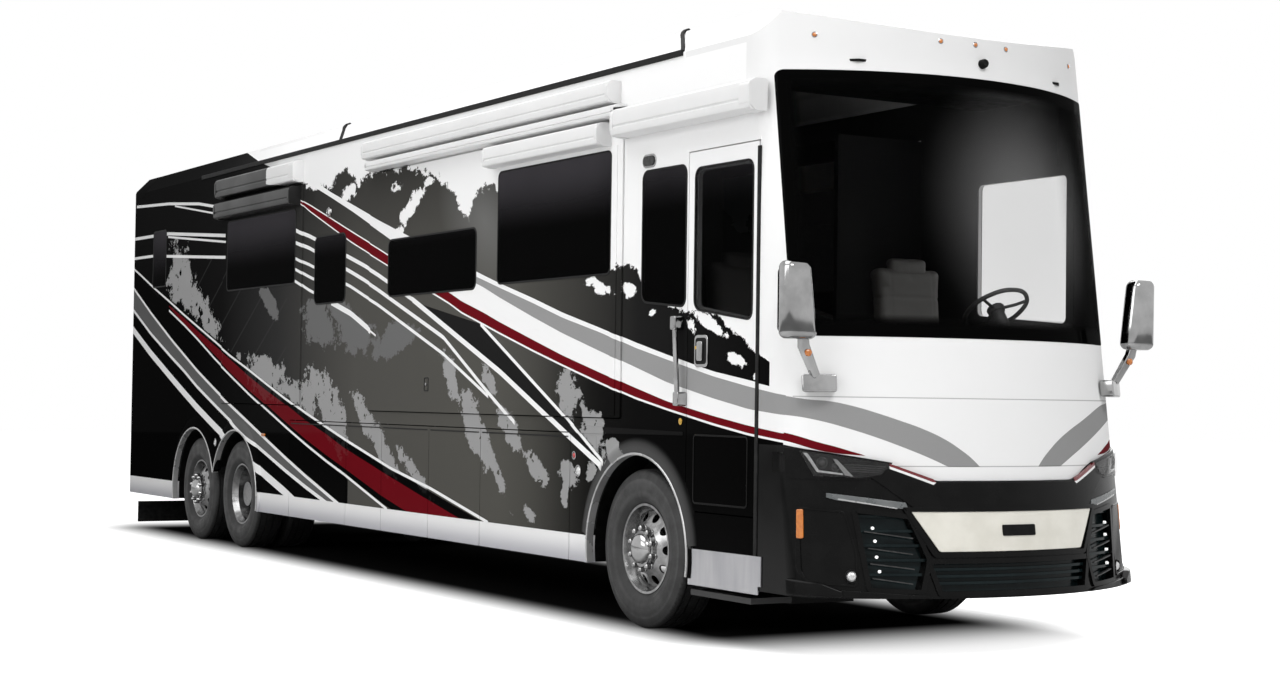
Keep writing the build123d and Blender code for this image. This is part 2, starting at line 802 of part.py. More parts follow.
# ---- axles ---------------------------------------------------------------
beam_half = 45.0
beam_low_z = 395.0
eye_r = 52.0
eye_height = 160.0
kingpin_r = 24.0
drive_tube_r = 70.0
drive_tube_half = drive_outer_half + 20.0
housing_half = 230.0
housing_r = 205.0
tag_spindle_r = 48.0
arm_low_z = 402.0
arm_thickness = 54.0
beam_end = kingpin_half - 140.0
with BuildPart() as front_axle:
    add(block(-beam_end, beam_end, front_axle_y - beam_half, front_axle_y + beam_half, beam_low_z, beam_low_z + 95))
    for side in (-1, 1):
        add(
            block(
                side * (beam_end - 40),
                side * kingpin_half,
                front_axle_y - beam_half,
                front_axle_y + beam_half,
                tyre_radius - 70,
                tyre_radius + 60,
            )
        )
        with Locations((side * kingpin_half, front_axle_y, tyre_radius)):
            Cylinder(eye_r, eye_height)
    for side in (-1, 1):
        add(
            block(
                side * (beam_end - 60),
                side * beam_end,
                front_axle_y - beam_half,
                front_axle_y + beam_half,
                beam_low_z,
                tyre_radius,
            )
        )
    for side in (-1, 1):
        with Locations((side * kingpin_half, front_axle_y, tyre_radius)):
            Cylinder(kingpin_r + bearing_gap, eye_height + 60, mode=Mode.SUBTRACT)

with BuildPart() as drive_axle:
    with BuildSketch(Plane.XZ.offset(-drive_axle_y)):
        with BuildLine():
            Line((-drive_tube_half, tyre_radius), (-drive_tube_half, tyre_radius + drive_tube_r))
            Line((-drive_tube_half, tyre_radius + drive_tube_r), (-housing_half, tyre_radius + drive_tube_r))
            ThreePointArc(
                (-housing_half, tyre_radius + drive_tube_r),
                (0, tyre_radius + housing_r),
                (housing_half, tyre_radius + drive_tube_r),
            )
            Line((housing_half, tyre_radius + drive_tube_r), (drive_tube_half, tyre_radius + drive_tube_r))
            Line((drive_tube_half, tyre_radius + drive_tube_r), (drive_tube_half, tyre_radius))
            Line((drive_tube_half, tyre_radius), (-drive_tube_half, tyre_radius))
        make_face()
    revolve(axis=Axis((0, drive_axle_y, tyre_radius), (1, 0, 0)))
    for side in (-1, 1):
        x_mid = side * rail_half
        add(
            block(
                x_mid - 40,
                x_mid + 40,
                drive_axle_y - 470,
                drive_axle_y + 470,
                arm_low_z,
                arm_low_z + arm_thickness + 6,
            )
        )

with BuildPart() as tag_axle:
    with Locations(Location((0, tag_axle_y, tyre_radius), (0, 90, 0))):
        Cylinder(tag_spindle_r, 2 * tag_track_half + 80)
    beam_end = tag_track_half - 240
    add(block(-beam_end, beam_end, tag_axle_y - 55, tag_axle_y + 55, tyre_radius - 60, tyre_radius + 60))

with BuildPart() as axles:
    add(front_axle.part)
    add(drive_axle.part)
    add(tag_axle.part)
save(axles.part, "axles")

with BuildPart() as air_springs:
    springs = (
        (front_axle_y, beam_low_z + 95),
        (drive_axle_y - 370, arm_low_z + arm_thickness + 6),
        (drive_axle_y + 370, arm_low_z + arm_thickness + 6),
        (tag_axle_y, tyre_radius + 60),
    )
    for y_mid, foot in springs:
        for side in (-1, 1):
            with Locations((side * rail_half, y_mid, (foot + rail_bottom_z) / 2)):
                Cylinder(115, rail_bottom_z - foot)
save(air_springs.part, "air_springs")

# ---- knuckles ------------------------------------------------------------
fork_gap = 5.0
fork_thickness = 34.0
spindle_end = front_track_half + 60.0
for side, name in ((-1, "right"), (1, "left")):
    arm_z = eye_height / 2 + fork_gap
    with BuildPart() as knuckle:
        with Locations((side * kingpin_half, front_axle_y, tyre_radius)):
            Cylinder(kingpin_r, 2 * (arm_z + fork_thickness))
        for z_a in (tyre_radius + arm_z, tyre_radius - arm_z - fork_thickness):
            add(
                block(
                    side * (kingpin_half - 40),
                    side * (kingpin_half + 92),
                    front_axle_y - 42,
                    front_axle_y + 42,
                    z_a,
                    z_a + fork_thickness,
                )
            )
        add(
            block(
                side * (kingpin_half + eye_r + fork_gap),
                side * (kingpin_half + 92),
                front_axle_y - 60,
                front_axle_y + 60,
                tyre_radius - arm_z - fork_thickness,
                tyre_radius + arm_z + fork_thickness,
            )
        )
        spindle_start = kingpin_half + eye_r + fork_gap
        reach = spindle_end + 20 - spindle_start
        with Locations(
            Location((side * (spindle_start + reach / 2), front_axle_y, tyre_radius), (0, 90, 0))
        ):
            Cylinder(steer_spindle_radius, reach)
    save(knuckle.part, "knuckle_" + name)

# ---- wheels --------------------------------------------------------------
bead_half = 104.0
flange_half = 116.5
disc_thickness = 14.0
hand_hole_r = 30.0
hand_hole_ring = 212.0
hand_holes = 10


def turned(points, side, track, axle_y):
    """A closed outline (offset along the axle, radius) turned about the axle."""
    placed = [(side * (track + u), tyre_radius + r) for u, r in points]
    with BuildPart() as turning:
        with BuildSketch(Plane.XZ.offset(-axle_y)):
            with BuildLine():
                Polyline(*placed, close=True)
            make_face()
        revolve(axis=Axis((0, axle_y, tyre_radius), (1, 0, 0)))
    return turning.part


def tyre_solid(side, track, axle_y):
    """A tyre: tread, round shoulders, bulged sidewalls, open inside."""
    b = tyre_width / 2
    c = side * track
    z = tyre_radius
    outside = [
        (bead_half, rim_seat_radius),
        (bead_half, 300),
        (b - 14, 342),
        (b - 2, 388),
        (b - 3, 436),
        (b - 14, 486),
        (b - 26, 510),
        (b - 48, tyre_radius - 3),
        (b - 100, tyre_radius),
    ]
    inside = [
        (bead_half - 26, rim_seat_radius - 5),
        (bead_half - 20, 312),
        (b - 24, 362),
        (b - 22, 430),
        (b - 46, 492),
    ]
    with BuildPart() as tyre:
        with BuildSketch(Plane.XZ.offset(-axle_y)):
            for points, mode in ((outside, Mode.ADD), (inside, Mode.SUBTRACT)):
                right = [(c + u, z + r) for u, r in points]
                left = [(c - u, z + r) for u, r in reversed(points)]
                with BuildLine():
                    Polyline(*right, *left, close=True)
                make_face(mode=mode)
        revolve(axis=Axis((0, axle_y, tyre_radius), (1, 0, 0)))
    return tyre.part


barrel = (
    (-flange_half, rim_flange_radius),
    (-bead_half - 0.5, rim_flange_radius),
    (-bead_half - 0.5, rim_seat_radius - 0.5),
    (bead_half + 0.5, rim_seat_radius - 0.5),
    (bead_half + 0.5, rim_flange_radius),
    (flange_half, rim_flange_radius),
    (flange_half, rim_flange_radius - 16),
    (60.0, 258.0),
    (-60.0, 258.0),
    (-flange_half, rim_flange_radius - 16),
)


def hub_solid(side, track, axle_y, start, end, radius, bore, bore_end):
    """A hub with a blind bore that the spindle runs in."""
    with BuildPart() as hub:
        for u_a, u_b, r, mode in (
            (start, end, radius, Mode.ADD),
            (start - 5, bore_end, bore, Mode.SUBTRACT),
        ):
            x_mid = side * (track + (u_a + u_b) / 2)
            with Locations(Location((x_mid, axle_y, tyre_radius), (0, 90, 0))):
                Cylinder(r, u_b - u_a, mode=mode)
    return hub.part


def disc_solid(side, track, axle_y, rim_u, hub_u, hub_r):
    """A dished disc from the barrel to the hub, with hand holes."""
    ring = (
        (rim_u, 262.0),
        (rim_u + (hub_u - rim_u) * 0.75, 175.0),
        (hub_u, 150.0),
        (hub_u, hub_r - 10),
        (hub_u - disc_thickness, hub_r - 10),
        (hub_u - disc_thickness, 150.0),
        (rim_u + (hub_u - rim_u) * 0.75 - disc_thickness, 175.0),
        (rim_u - disc_thickness, 262.0),
    )
    with BuildPart() as disc:
        add(turned(ring, side, track, axle_y))
        with BuildSketch(Plane.YZ.offset(side * track)):
            with Locations((axle_y, tyre_radius)):
                with PolarLocations(hand_hole_ring, hand_holes):
                    Circle(hand_hole_r)
        extrude(amount=300, both=True, mode=Mode.SUBTRACT)
    return disc.part


# wheels: name, axle, track of each rim, disc dish at rim and at hub, hub end, bore
wheel_table = (
    ("front", front_axle_y, (front_track_half,), (45.0,), (118.0,), 150.0, steer_spindle_radius),
    ("drive", drive_axle_y, (drive_outer_half, drive_outer_half - dual_spacing), (-50.0, 60.0), (-150.0, 168.0), 60.0, drive_tube_r),
    ("tag", tag_axle_y, (tag_track_half,), (45.0,), (118.0,), 150.0, tag_spindle_r),
)
for side, name in ((-1, "right"), (1, "left")):
    for label, axle_y, tracks, rim_us, hub_us, hub_end, spindle_r in wheel_table:
        outer_track = tracks[0]
        with BuildPart() as tyres:
            for track in tracks:
                add(tyre_solid(side, track, axle_y))
        save(tyres.part, label + "_tyre_" + name)
        hub_r = 118.0
        bore = spindle_r + (bearing_gap if label != "drive" else 5.0)
        if label == "front":
            start, bore_end = kingpin_half + 97.0 - outer_track, spindle_end + 25.0 - outer_track
        elif label == "tag":
            start, bore_end = -235.0, 45.0
        else:
            start, bore_end = -440.0, 25.0
        with BuildPart() as rim:
            for track, rim_u, hub_u in zip(tracks, rim_us, hub_us):
                add(turned(barrel, side, track, axle_y))
                add(disc_solid(side, track, axle_y, rim_u, hub_u, hub_r))
            add(hub_solid(side, outer_track, axle_y, start, hub_end, hub_r, bore, bore_end))
        save(rim.part, label + "_rim_" + name)

# ---- cab furniture -------------------------------------------------------
seat_half = 600.0
wheel_rake = 35.0
wheel_axis = (0, sin(radians(wheel_rake)), cos(radians(wheel_rake)))
wheel_centre = (seat_half, at(-1360), 2130.0)
column_mid = tuple(wheel_centre[n] - 195.0 * wheel_axis[n] for n in range(3))
dash_form = nose_form(cap_wall + 1, cap_setback, bumper_bottom_z)
dash_block = block(-half + 60, half - 60, nose_y, at(-1520), floor_top, 1860)
with BuildPart() as dashboard:
    add(dash_block & dash_form)
    with Locations(Location(Plane(origin=column_mid, z_dir=wheel_axis))):
        Cylinder(45, 350)
save(dashboard.part, "dashboard")

with BuildPart() as steering_wheel:
    tilt = Plane(origin=wheel_centre, z_dir=wheel_axis)
    with BuildSketch(Plane(origin=wheel_centre, x_dir=(0, wheel_axis[2], -wheel_axis[1]), z_dir=(1, 0, 0))):
        with Locations((215, 0)):
            Circle(15)
    revolve(axis=Axis(wheel_centre, wheel_axis))
    with Locations(Location(tilt)):
        Cylinder(60, 40)
        with PolarLocations(130, 3, start_angle=90):
            Box(180, 36, 14)
save(steering_wheel.part, "steering_wheel")

with BuildPart() as front_seats:
    # the driver's seat, then the one behind the stair well
    for x, y in ((seat_half, at(-420)), (-seat_half, at(-170))):
        add(block(x - 120, x + 120, y - 440, y - 140, floor_top, floor_top + 260))
        add(block(x - 270, x + 270, y - 560, y - 20, floor_top + 250, floor_top + 400))
        add(block(x - 250, x + 250, y - 80, y + 60, floor_top + 390, floor_top + 1010))
        add(block(x - 130, x + 130, y - 60, y + 40, floor_top + 1000, floor_top + 1190))
save(front_seats.part, "front_seats")

# ---- outside fittings ----------------------------------------------------
# cases on the walls: side, front, rear, bottom, top, reach
awning_table = (
    (-1, -1465.0, 200.0, 3265.0, 3450.0, 135.0),
    (-1, 200.0, 4400.0, 3412.0, 3490.0, 110.0),
    (-1, 290.0, 4480.0, 3515.0, 3660.0, 110.0),
    (-1, 6060.0, 8200.0, 3470.0, 3655.0, 110.0),
    (1, 240.0, 8190.0, 3500.0, 3660.0, 110.0),
)
with BuildPart() as awning_cases:
    for side, front, rear, bottom, top, reach in awning_table:
        add(block(side * half, side * (half + reach), at(front), at(rear), bottom, top))
        if at(front) < cap_join:
            # the case runs on over the cap's rounded corner
            tip = block(side * (half - 40), side * (half + 20), at(front), cap_join - 2, bottom, top)
            add(tip - outer_form)
save(awning_cases.part, "awning_cases")

mirror_out = half + 60.0
mirror_station = -1880.0
with BuildPart() as mirrors:
    for side in (-1, 1):
        with BuildPart(mode=Mode.PRIVATE) as head:
            with Locations((side * mirror_out, at(mirror_station), 2100)):
                Box(240, 130, 460)
            fillet(head.edges(), 40)
        add(head.part)
        add(block(side * (mirror_out - 60), side * (mirror_out - 20), at(mirror_station) - 15, at(mirror_station) + 15, 1600, 1900))
        foot = block(
            side * (mirror_out - 410), side * (mirror_out - 20), at(mirror_station) - 25, at(mirror_station) + 25, 1570, 1670
        )
        add(foot - outer_form)
save(mirrors.part, "mirrors")

air_stations = (1400.0, 4900.0, 8300.0)
with BuildPart() as roof_air_units:
    for station in air_stations:
        add(block(-340, 340, at(station) - 480, at(station) + 480, crown_z - 40, crown_z + 110))
    fillet(roof_air_units.edges().filter_by(Axis.Z), 90)
    add(run_along_y(section_outline(0, floor_z), brow_join, rear_join), mode=Mode.SUBTRACT)
save(roof_air_units.part, "roof_air_units")

guard_y = rail_rear + 25.0
guard_half = half - 60.0
with BuildPart() as rock_guard:
    add(block(-guard_half, guard_half, guard_y, guard_y + 12, 60, 250))
    add(block(-guard_half, guard_half, guard_y - 25, guard_y + 12, 240, 290))
    for side in (-1, 1):
        x = side * rail_half
        add(block(x - 25, x + 25, guard_y - 25, guard_y, 280, rail_bottom_z + 120))
save(rock_guard.part, "rock_guard")
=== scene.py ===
# %% [markdown]
# A long motor coach dressed for display. The imported model gives every panel, wheel and door its
# true place; this lesson adds paint, glass, chrome and the small fittings around it. We begin by
# loading that fixed frame.

# %% Load the frame
import math
import bpy
import bmesh
from mathutils import Matrix, Vector
from mathutils.bvhtree import BVHTree


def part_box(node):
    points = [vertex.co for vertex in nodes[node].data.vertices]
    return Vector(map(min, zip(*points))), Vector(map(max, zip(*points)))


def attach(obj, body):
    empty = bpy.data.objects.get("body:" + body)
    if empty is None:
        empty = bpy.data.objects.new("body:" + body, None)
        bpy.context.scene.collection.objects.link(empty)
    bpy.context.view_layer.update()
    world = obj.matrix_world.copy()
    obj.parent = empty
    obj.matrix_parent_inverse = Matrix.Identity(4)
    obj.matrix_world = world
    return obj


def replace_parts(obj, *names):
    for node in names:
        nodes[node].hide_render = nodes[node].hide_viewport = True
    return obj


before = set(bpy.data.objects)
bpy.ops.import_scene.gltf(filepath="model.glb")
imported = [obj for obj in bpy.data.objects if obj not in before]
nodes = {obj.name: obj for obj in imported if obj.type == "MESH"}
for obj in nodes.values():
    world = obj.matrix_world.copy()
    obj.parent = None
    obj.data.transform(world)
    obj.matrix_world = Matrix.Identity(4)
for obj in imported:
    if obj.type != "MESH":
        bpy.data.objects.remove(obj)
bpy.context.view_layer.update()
FRONT_AXLE_Y = -4.52
HALF_WIDTH = 1.29
SLIDE_X = 1.3

# %% [markdown]
# The camera stands ahead of the coach on its door side, at a person's eye height. Its place and its
# turn come from the wheels' true spacing, so the body shows the same perspective as the real one.

# %% Camera
EYE_PLACE = (-8.2126, -11.6071 + FRONT_AXLE_Y, 1.5171)
EYE_TURN = (0.537957, 0.0283116, 0.0137043)
SENSOR, FRAME_WIDE, FOCAL = 36.0, 1280.0, 2043.71


def make_camera():
    yaw, pitch, roll = EYE_TURN
    forward = Vector((math.sin(yaw) * math.cos(pitch), math.cos(yaw) * math.cos(pitch), math.sin(pitch)))
    side = Vector((math.cos(yaw), -math.sin(yaw), 0.0))
    up = side.cross(forward)
    right = side * math.cos(roll) + up * math.sin(roll)
    top = -side * math.sin(roll) + up * math.cos(roll)
    data = bpy.data.cameras.new("eye")
    data.sensor_width = SENSOR
    data.lens = FOCAL / FRAME_WIDE * SENSOR
    data.clip_end = 300.0
    eye = bpy.data.objects.new("eye", data)
    turn = Matrix((right, top, -forward)).transposed().to_4x4()
    eye.matrix_world = Matrix.Translation(EYE_PLACE) @ turn
    bpy.context.collection.objects.link(eye)
    bpy.context.scene.camera = eye
    return eye


eye = make_camera()
bpy.context.scene.view_settings.view_transform = "Standard"
print("camera at", [round(value, 2) for value in eye.matrix_world.translation], "lens", round(eye.data.lens, 2), "mm")

# %% [markdown]
# Node maths is easier to read as plain sums. This little class holds one socket of a shader tree and
# turns every +, -, * and comparison into the Math node that does it.

# %% Shader arithmetic
class Field:
    """A value that varies over a surface, with ordinary arithmetic."""

    def __init__(self, board, socket):
        self.board = board
        self.socket = socket

    def math(self, operation, *others, clamp=False):
        sockets = {index: value for index, value in enumerate((self,) + others)}
        return self.board.node("ShaderNodeMath", {"operation": operation, "use_clamp": clamp}, sockets)

    def __add__(self, other):
        return self.math("ADD", other)

    def __mul__(self, other):
        return self.math("MULTIPLY", other)

    def __sub__(self, other):
        return self.math("SUBTRACT", other)

    def __rsub__(self, other):
        return self.board.node("ShaderNodeMath", {"operation": "SUBTRACT"}, {0: other, 1: self})

    def __gt__(self, other):
        return self.math("GREATER_THAN", other)

    def __lt__(self, other):
        return self.math("LESS_THAN", other)

    def __abs__(self):
        return self.math("ABSOLUTE")

    def floor_to(self, other):
        return self.math("MAXIMUM", other)

    def cap_to(self, other):
        return self.math("MINIMUM", other)

    def between(self, low, high):
        return (self > low) * (self < high)

    def smooth(self, low, high, start=0.0, end=1.0):
        settings = {"interpolation_type": "SMOOTHSTEP"}
        return self.board.node("ShaderNodeMapRange", settings, {0: self, 1: low, 2: high, 3: start, 4: end})

    __radd__ = __add__
    __rmul__ = __mul__


class Board:
    """One material's node tree, and a short way to add nodes to it."""

    def __init__(self, name):
        self.material = bpy.data.materials.new(name)
        self.material.use_nodes = True
        self.tree = self.material.node_tree
        self.surface = self.tree.nodes["Principled BSDF"]
        self.place = None

    def node(self, kind, settings=None, sockets=None, out=0):
        made = self.tree.nodes.new(kind)
        for key, value in (settings or {}).items():
            if key == "stops":
                self.set_stops(made, value)
            elif key == "points":
                self.set_points(made, *value)
            else:
                setattr(made, key, value)
        for key, value in (sockets or {}).items():
            self.feed(made.inputs[key], value)
        return Field(self, made.outputs[out])

    def feed(self, socket, value):
        if isinstance(value, Field):
            self.tree.links.new(value.socket, socket)
        else:
            socket.default_value = value

    def set_stops(self, ramp, stops):
        elements = ramp.color_ramp.elements
        while len(elements) < len(stops):
            elements.new(0.5)
        for element, (position, colour) in zip(elements, stops):
            element.position = position
            element.color = colour

    def set_points(self, curve, points, handle):
        line = curve.mapping.curves[0].points
        while len(line) < len(points):
            line.new(0.5, 0.5)
        for point, (a, b) in zip(line, sorted(points)):
            point.location = (a, b)
            point.handle_type = handle
        curve.mapping.update()

    def position(self):
        """The X, Y and Z of a point on the object, in metres."""
        if self.place is None:
            where = self.node("ShaderNodeTexCoord", {}, {}, "Object")
            self.place = [self.node("ShaderNodeSeparateXYZ", {}, {0: where}, axis) for axis in range(3)]
            self.where = where
        return self.place

    def noise(self, scale, detail=3.0, rough=0.5, stretch=(1, 1, 1)):
        self.position()
        mapped = self.node("ShaderNodeMapping", {}, {"Vector": self.where, "Scale": stretch})
        return self.node(
            "ShaderNodeTexNoise", {"noise_dimensions": "3D"},
            {"Vector": mapped, "Scale": scale, "Detail": detail, "Roughness": rough},
        )

    def mix(self, mask, under, over):
        return self.node(
            "ShaderNodeMix", {"data_type": "RGBA", "clamp_factor": True},
            {0: mask, 6: under, 7: over}, 2,
        )

    def bump(self, height, strength, distance):
        return self.node("ShaderNodeBump", {}, {"Strength": strength, "Distance": distance, "Height": height})

    def finish(self, **sockets):
        names = {
            "colour": "Base Color", "rough": "Roughness", "metal": "Metallic", "coat": "Coat Weight",
            "coat_rough": "Coat Roughness", "alpha": "Alpha", "normal": "Normal", "glow": "Emission Color",
            "glow_power": "Emission Strength", "specular": "Specular IOR Level",
        }
        for key, value in sockets.items():
            self.feed(self.surface.inputs[names[key]], value)
        return self.material


def grey(value, alpha=1.0):
    return (value, value, value, alpha)


print("node helpers ready")

# %% [markdown]
# The livery is painted in one material for all the body panels, so that a stripe runs on unbroken
# over walls, doors and slide-outs. A stripe's edge is a curve that gives its height at each distance
# behind the front axle: a Float Curve node holds those heights, and a comparison makes the edge crisp.

# %% Livery edges
SPAN_START, SPAN = -2.6, 15.4
TALL = 4.4


class Livery:
    """Stripes and patches on the coach's sides, measured back from the front axle."""

    def __init__(self, board):
        self.board = board
        x, y, z = board.position()
        self.x, self.z = abs(x), z
        across_tail = (1.09 - self.x).floor_to(0.0) * (y > 6.3)
        self.s = y - FRONT_AXLE_Y + across_tail
        self.along = (self.s - SPAN_START) * (1.0 / SPAN)
        self.across = self.x * (1.0 / 1.4)
        self.flat = None

    def edge(self, points, way="along"):
        """Height of a line given as (distance, height) pairs, or as (x, height) pairs across the nose."""
        if way == "along":
            scaled = [((s - SPAN_START) / SPAN, h / TALL) for s, h in points]
            source = self.along
        else:
            scaled = [(x / 1.4, h / TALL) for x, h in points]
            source = self.across
        handle = "VECTOR" if way == "along" else "AUTO"
        curve = self.board.node("ShaderNodeFloatCurve", {"points": (scaled, handle)}, {1: source})
        return curve * TALL

    def band(self, upper, lower, start, end):
        """Between two lines, from one distance to another."""
        top = self.edge(upper)
        return (self.z < top) * (self.z > self.edge(lower)) * self.s.between(start, end)

    def line(self, points, width):
        """A thin stripe that follows a line, its points given from the rear forwards."""
        return (abs(self.z - self.edge(points)) < width / 2.0) * self.s.between(points[-1][0], points[0][0])

    def blob(self, s, z, long, wide, lean):
        """A soft oval: one at its middle, nought at its rim. A lean tips its long way over, in degrees."""
        if self.flat is None:
            self.flat = self.board.node("ShaderNodeCombineXYZ", {}, {0: self.s, 1: self.z, 2: 0.0})
        settings = {"vector_type": "TEXTURE"}
        turned = self.board.node("ShaderNodeMapping", settings, {
            "Vector": self.flat, "Location": (s, z, 0.0), "Rotation": (0.0, 0.0, math.radians(lean)),
            "Scale": (long, wide, 1.0),
        })
        away = self.board.node("ShaderNodeVectorMath", {"operation": "LENGTH"}, {0: turned}, "Value")
        return 1.0 - away

    def blobs(self, rows):
        """The strongest of many ovals."""
        best = None
        for row in rows:
            one = self.blob(*row)
            best = one if best is None else best.floor_to(one)
        return best


print("livery helper ready")

# %% [markdown]
# Now the colours of the livery. The body is white; a charcoal field with a torn upper edge covers
# the flanks, pale grey flakes lie on it, and red, grey and white ribbons sweep down over everything.
# Each step below mixes one more layer over the colour so far. Some layers are painted light: a
# highlight on the charcoal field and on the front arch flares, and shade over the roof crown and inside
# the walls.

# %% Livery paint
WHITE, SILVER, SMOKE, FLAKE, SHADE = grey(0.8), grey(0.27), grey(0.115), grey(0.3), grey(0.135)
CRIMSON = (0.125, 0.004, 0.008, 1.0)
BLACK = grey(0.0015)
# distance, then the heights of band A's top and foot, band B's top and foot, and two thin lines
BANDS = [
    (9.4, 2.3, 2.236, 1.905, 1.773, 2.335, 2.23), (8.95, 2.155, 2.091, 1.73, 1.6, 2.2, 2.07),
    (8.4, 1.991, 1.9, 1.54, 1.418, 2.035, 1.86), (7.95, 1.86, 1.736, 1.39, 1.273, 1.895, 1.705),
    (7.4, 1.69, 1.555, 1.22, 1.1, 1.75, 1.52), (6.9, 1.55, 1.409, 1.064, 0.964, 1.61, 1.364),
    (6.4, 1.42, 1.255, 0.91, 0.827, 1.473, 1.21), (5.9, 1.278, 1.109, 0.764, 0.7, 1.346, 1.064),
    (5.4, 1.164, 0.98, 0.628, 0.582, 1.227, 0.928),
]
# distance, then the heights of the white ribbon's top, the grey's top and foot, and the red's top and foot
SWEEP = [
    (2.3, 2.436, 2.4, 2.345, 2.155, 2.073), (2.05, 2.37, 2.336, 2.264, 2.082, 2.005),
    (1.5, 2.236, 2.2, 2.1, 1.936, 1.864), (1.05, 2.118, 2.082, 1.973, 1.818, 1.755),
    (0.5, 1.995, 1.964, 1.836, 1.691, 1.627), (0.05, 1.891, 1.855, 1.727, 1.591, 1.53),
    (-0.35, 1.805, 1.773, 1.627, 1.505, 1.46), (-0.9, 1.695, 1.664, 1.527, 1.418, 1.373),
    (-1.3, 1.64, 1.6, 1.464, 1.364, 1.318), (-1.7, 1.58, 1.545, 1.43, 1.32, 1.28),
]


def column(table, number, behind, ahead=()):
    """One line of a table as (distance, height) pairs, with its own points behind and ahead of the table's."""
    return [*behind, *((row[0], row[number]) for row in table), *ahead]


BAND_A_TOP = column(BANDS, 1, [(9.92, 2.454)], [
    (5.03, 1.064), (4.48, 0.945), (4.19, 0.882), (3.75, 0.791), (3.4, 0.718), (3.17, 0.673), (2.9, 0.618),
    (2.67, 0.573),
])
BAND_A_LOW = column(BANDS, 2, [(9.92, 2.44)], [
    (5.03, 0.891), (4.48, 0.755), (4.19, 0.682), (3.75, 0.591), (3.65, 0.573),
])
BAND_B_TOP = column(BANDS, 3, [(12.4, 3.28), (11.44, 2.78), (10.54, 2.37), (9.8, 2.06)], [(5.2, 0.573)])
BAND_B_LOW = column(BANDS, 4, [(12.4, 3.02), (11.44, 2.56), (10.54, 2.18), (9.8, 1.91)], [(5.36, 0.573)])
BAND_C = [
    (12.4, 2.74), (11.44, 2.32), (10.54, 1.95), (9.8, 1.675), (9.4, 1.53), (8.95, 1.37), (8.4, 1.19), (7.95, 1.05),
    (6.9, 0.741), (6.4, 0.61), (6.2, 0.55),
]
WHITE_TOP = column(SWEEP, 1, [(6.17, 3.53), (5.9, 3.49), (5.4, 3.318), (4.9, 3.17), (4.3, 2.99), (2.44, 2.475)])
GREY_TOP = column(SWEEP, 2, [(3.3, 2.65)])
GREY_LOW = column(SWEEP, 3, [(3.3, 2.62)])
RED_TOP = column(SWEEP, 4, [
    (6.17, 3.31), (5.9, 3.236), (5.4, 3.082), (4.9, 2.927), (4.6, 2.836), (4.3, 2.745), (4.1, 2.682), (2.9, 2.327),
    (2.685, 2.255),
])
RED_LOW = column(SWEEP, 5, [
    (6.17, 3.3), (5.9, 3.191), (5.4, 3.018), (4.9, 2.845), (4.6, 2.755), (4.3, 2.664), (4.1, 2.605), (2.9, 2.25),
    (2.685, 2.173),
])
UPPER_LOW = [(6.17, 3.5), (5.9, 3.43), (5.4, 3.273), (4.9, 3.11), (4.3, 2.9), (4.1, 2.83), (3.2, 2.5)]
TORN_TOP = [
    (12.6, 4.4), (8.75, 4.3), (8.1, 3.954), (7.2, 3.75), (6.95, 3.69), (6.14, 3.46), (5.62, 3.4), (5.4, 3.36),
    (5.2, 3.45), (5.05, 3.5), (4.88, 3.42), (4.78, 3.3), (4.6, 3.4), (4.0, 3.42), (3.6, 3.37), (3.3, 3.28),
    (3.1, 3.2), (2.95, 3.12), (2.75, 3.05), (2.6, 2.9), (2.48, 3.05), (2.4, 3.15), (2.15, 3.1), (1.0, 2.7),
    (0.34, 2.4), (0.2, 2.43), (0.05, 2.4), (-0.04, 2.3), (-0.12, 2.22), (-0.35, 2.13), (-0.6, 2.08), (-0.95, 2.03),
    (-1.1, 1.98), (-1.2, 1.93), (-1.3, 1.86), (-1.45, 1.77), (-1.56, 1.72), (-1.62, 1.5),
]
# white lines as their points and their width
THIN_LINES = [
    (column(BANDS, 5, [(12.4, 3.28), (10.96, 2.83), (10.48, 2.67), (9.92, 2.5)],
            [(4.94, 1.12), (4.0, 0.915), (3.2, 0.78), (2.19, 0.573)]), 0.024),
    (column(BANDS, 6, [(9.92, 2.4)], [(5.0, 0.83), (4.06, 0.573)]), 0.024),
    ([(11.15, 3.61), (10.0, 3.56), (9.0, 3.485), (8.2, 3.38)], 0.03),
    ([(9.79, 3.52), (8.2, 3.31)], 0.018),
    ([(12.2, 3.26), (10.0, 3.235), (8.13, 3.1)], 0.034),
    ([(10.0, 3.2), (8.12, 3.035)], 0.022),
    ([(12.2, 3.035), (10.5, 3.02), (8.12, 2.88)], 0.03),
    ([(6.21, 3.03), (6.1, 3.0), (5.9, 2.959), (4.9, 2.7), (4.6, 2.62), (4.3, 2.53), (3.6, 2.3)], 0.036),
    ([(6.21, 2.915), (6.1, 2.891), (5.9, 2.85), (4.9, 2.582), (4.6, 2.497), (4.3, 2.405), (3.0, 1.98), (2.3, 1.6),
      (1.78, 1.33)], 0.034),
    ([(6.21, 2.77), (6.1, 2.741), (5.9, 2.7), (4.9, 2.455), (4.6, 2.364), (4.3, 2.28), (3.0, 1.85), (2.2, 1.52)],
     0.028),
    ([(6.21, 2.67), (6.1, 2.641), (5.9, 2.59), (5.6, 2.52)], 0.028),
    ([(6.21, 2.56), (6.1, 2.53), (5.9, 2.47), (5.3, 2.325)], 0.028),
    ([(5.35, 2.335), (4.9, 2.223), (4.6, 2.115), (4.45, 2.06)], 0.05),
    ([(4.46, 2.065), (4.33, 2.02)], 0.018),
    ([(3.6, 2.3), (2.0, 1.7), (1.0, 1.27), (0.46, 1.045)], 0.046),
    ([(2.35, 2.07), (1.0, 1.385), (0.44, 1.07)], 0.03),
]
